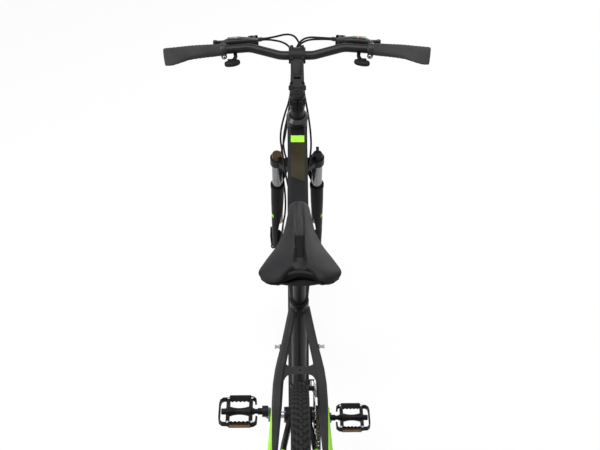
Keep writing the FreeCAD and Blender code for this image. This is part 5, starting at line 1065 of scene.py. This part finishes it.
def pedal(name):
    """Pedal with a waisted body, two struts, a bent cage rail, toothed plates and amber reflectors."""
    mesh, lenses, screws = bmesh.new(), bmesh.new(), bmesh.new()
    outward = Vector((math.copysign(1.0, pedal_middles[name].x), 0.0, 0.0))
    turned(mesh, pedal_middles[name], outward, pedal_barrel, 28)
    for place in (-27, 27):
        for sign in (-1, 1):
            block(mesh, on_pedal(name, place, sign * 26.2, 0), (outward, forward, upward),
                  (4.6, 16.3, 5.8), 0.8)
    skin(mesh, pedal_rings(name))
    for ahead in (-18.9, 0, 18.9):
        block(mesh, on_pedal(name, 48.4, ahead, 0), (forward, upward, outward), (4.5, 4.2, 0.9), 0.7)
    for sign in (-1, 1):
        sides = (outward, upward, forward * sign)
        toothed_plate(mesh, name, sign * 40.6)
        block(mesh, on_pedal(name, -1.5, sign * 46.4, 0.4), sides, (25.5, 6.2, 1.6), 0.97)
        block(lenses, on_pedal(name, -1.5, sign * 48.0, -0.4), sides, (24.2, 4.8, 0.5), 0.97)
        for place in (-30, 27):
            socket_bolt(screws, on_pedal(name, place, sign * 39.0, 5.4), upward, 3, 1.6)
    body = piece(name + "_body", mesh, "pedal_black", name)
    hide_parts(name)
    piece(name + "_reflectors", lenses, "amber_lens", name, 30.0)
    piece(name + "_screws", screws, "satin_alloy", name)


pedal("pedal_left")
pedal("pedal_right")


# Studio

floor_reach = 30.0
floor_level = -0.0017
floor_glow = 0.88
sky_strength = 0.46
photo_eye = (-0.016, -2.050, 2.309)
photo_dip = 35.98
photo_turn = -0.55
photo_lens = 65.65


def pale_rays(tree):
    """One for rays that look at the surroundings, straight or in gloss and glass."""
    ray = added_node(tree, "LightPath")
    seen = sums(tree, "MAXIMUM", ray.outputs["Is Camera Ray"], ray.outputs["Is Glossy Ray"])
    return sums(tree, "MAXIMUM", seen, ray.outputs["Is Transmission Ray"])


def studio_floor():
    """Wide pale floor that looks nearly white and keeps the bicycle's shadow."""
    mesh = bpy.data.meshes.new("studio_floor")
    mesh.from_pydata([(a * floor_reach, b * floor_reach, floor_level) for a, b in square], [], [(0, 1, 2, 3)])
    material, tree, shader = blank_material("pale_floor")
    fill(tree, shader, Base_Color=(0.86, 0.86, 0.86, 1.0), Roughness=0.9)
    blend = added_node(tree, "MixShader", Fac=sums(tree, "MULTIPLY", pale_rays(tree), floor_glow))
    tree.links.new(shader.outputs["BSDF"], blend.inputs[1])
    tree.links.new(added_node(tree, "Emission").outputs["Emission"], blend.inputs[2])
    fill(tree, tree.nodes["Material Output"], Surface=blend.outputs["Shader"])
    mesh.materials.append(material)
    added("studio_floor", mesh)


def soft_lamp(name, place, aim, size, power):
    lamp = bpy.data.lights.new(name, "AREA")
    lamp.shape = "SQUARE"
    lamp.size = size
    lamp.energy = power
    holder = added(name, lamp)
    holder.location = place
    holder.rotation_euler = (Vector(aim) - Vector(place)).to_track_quat("-Z", "Y").to_euler()


def studio_world():
    world = bpy.data.worlds.new("studio_world")
    world.use_nodes = True
    tree = world.node_tree
    fill(tree, tree.nodes["Background"], Color=(1.0, 1.0, 1.0, 1.0),
         Strength=mixed_value(tree, pale_rays(tree), sky_strength, 1.0))
    bpy.context.scene.world = world


def photo_camera():
    """Camera behind and above the rear wheel, at the photograph's angle."""
    data = bpy.data.cameras.new("photo_camera")
    data.lens = photo_lens
    data.sensor_width = 36.0
    camera = added("photo_camera", data)
    camera.location = photo_eye
    camera.rotation_euler = (math.radians(90.0 - photo_dip), 0.0, math.radians(photo_turn))
    bpy.context.scene.camera = camera


studio_floor()
studio_world()
soft_lamp("lamp_above", (-0.4, -0.6, 3.6), (0.0, 0.0, 0.6), size=2.6, power=95.0)
soft_lamp("lamp_left", (-3.0, -1.6, 2.2), (0.0, 0.0, 0.6), size=2.2, power=58.0)
soft_lamp("lamp_front", (1.6, 3.2, 2.4), (0.0, 0.2, 0.7), size=2.2, power=52.0)
photo_camera()
bpy.context.scene.view_settings.view_transform = "Standard"
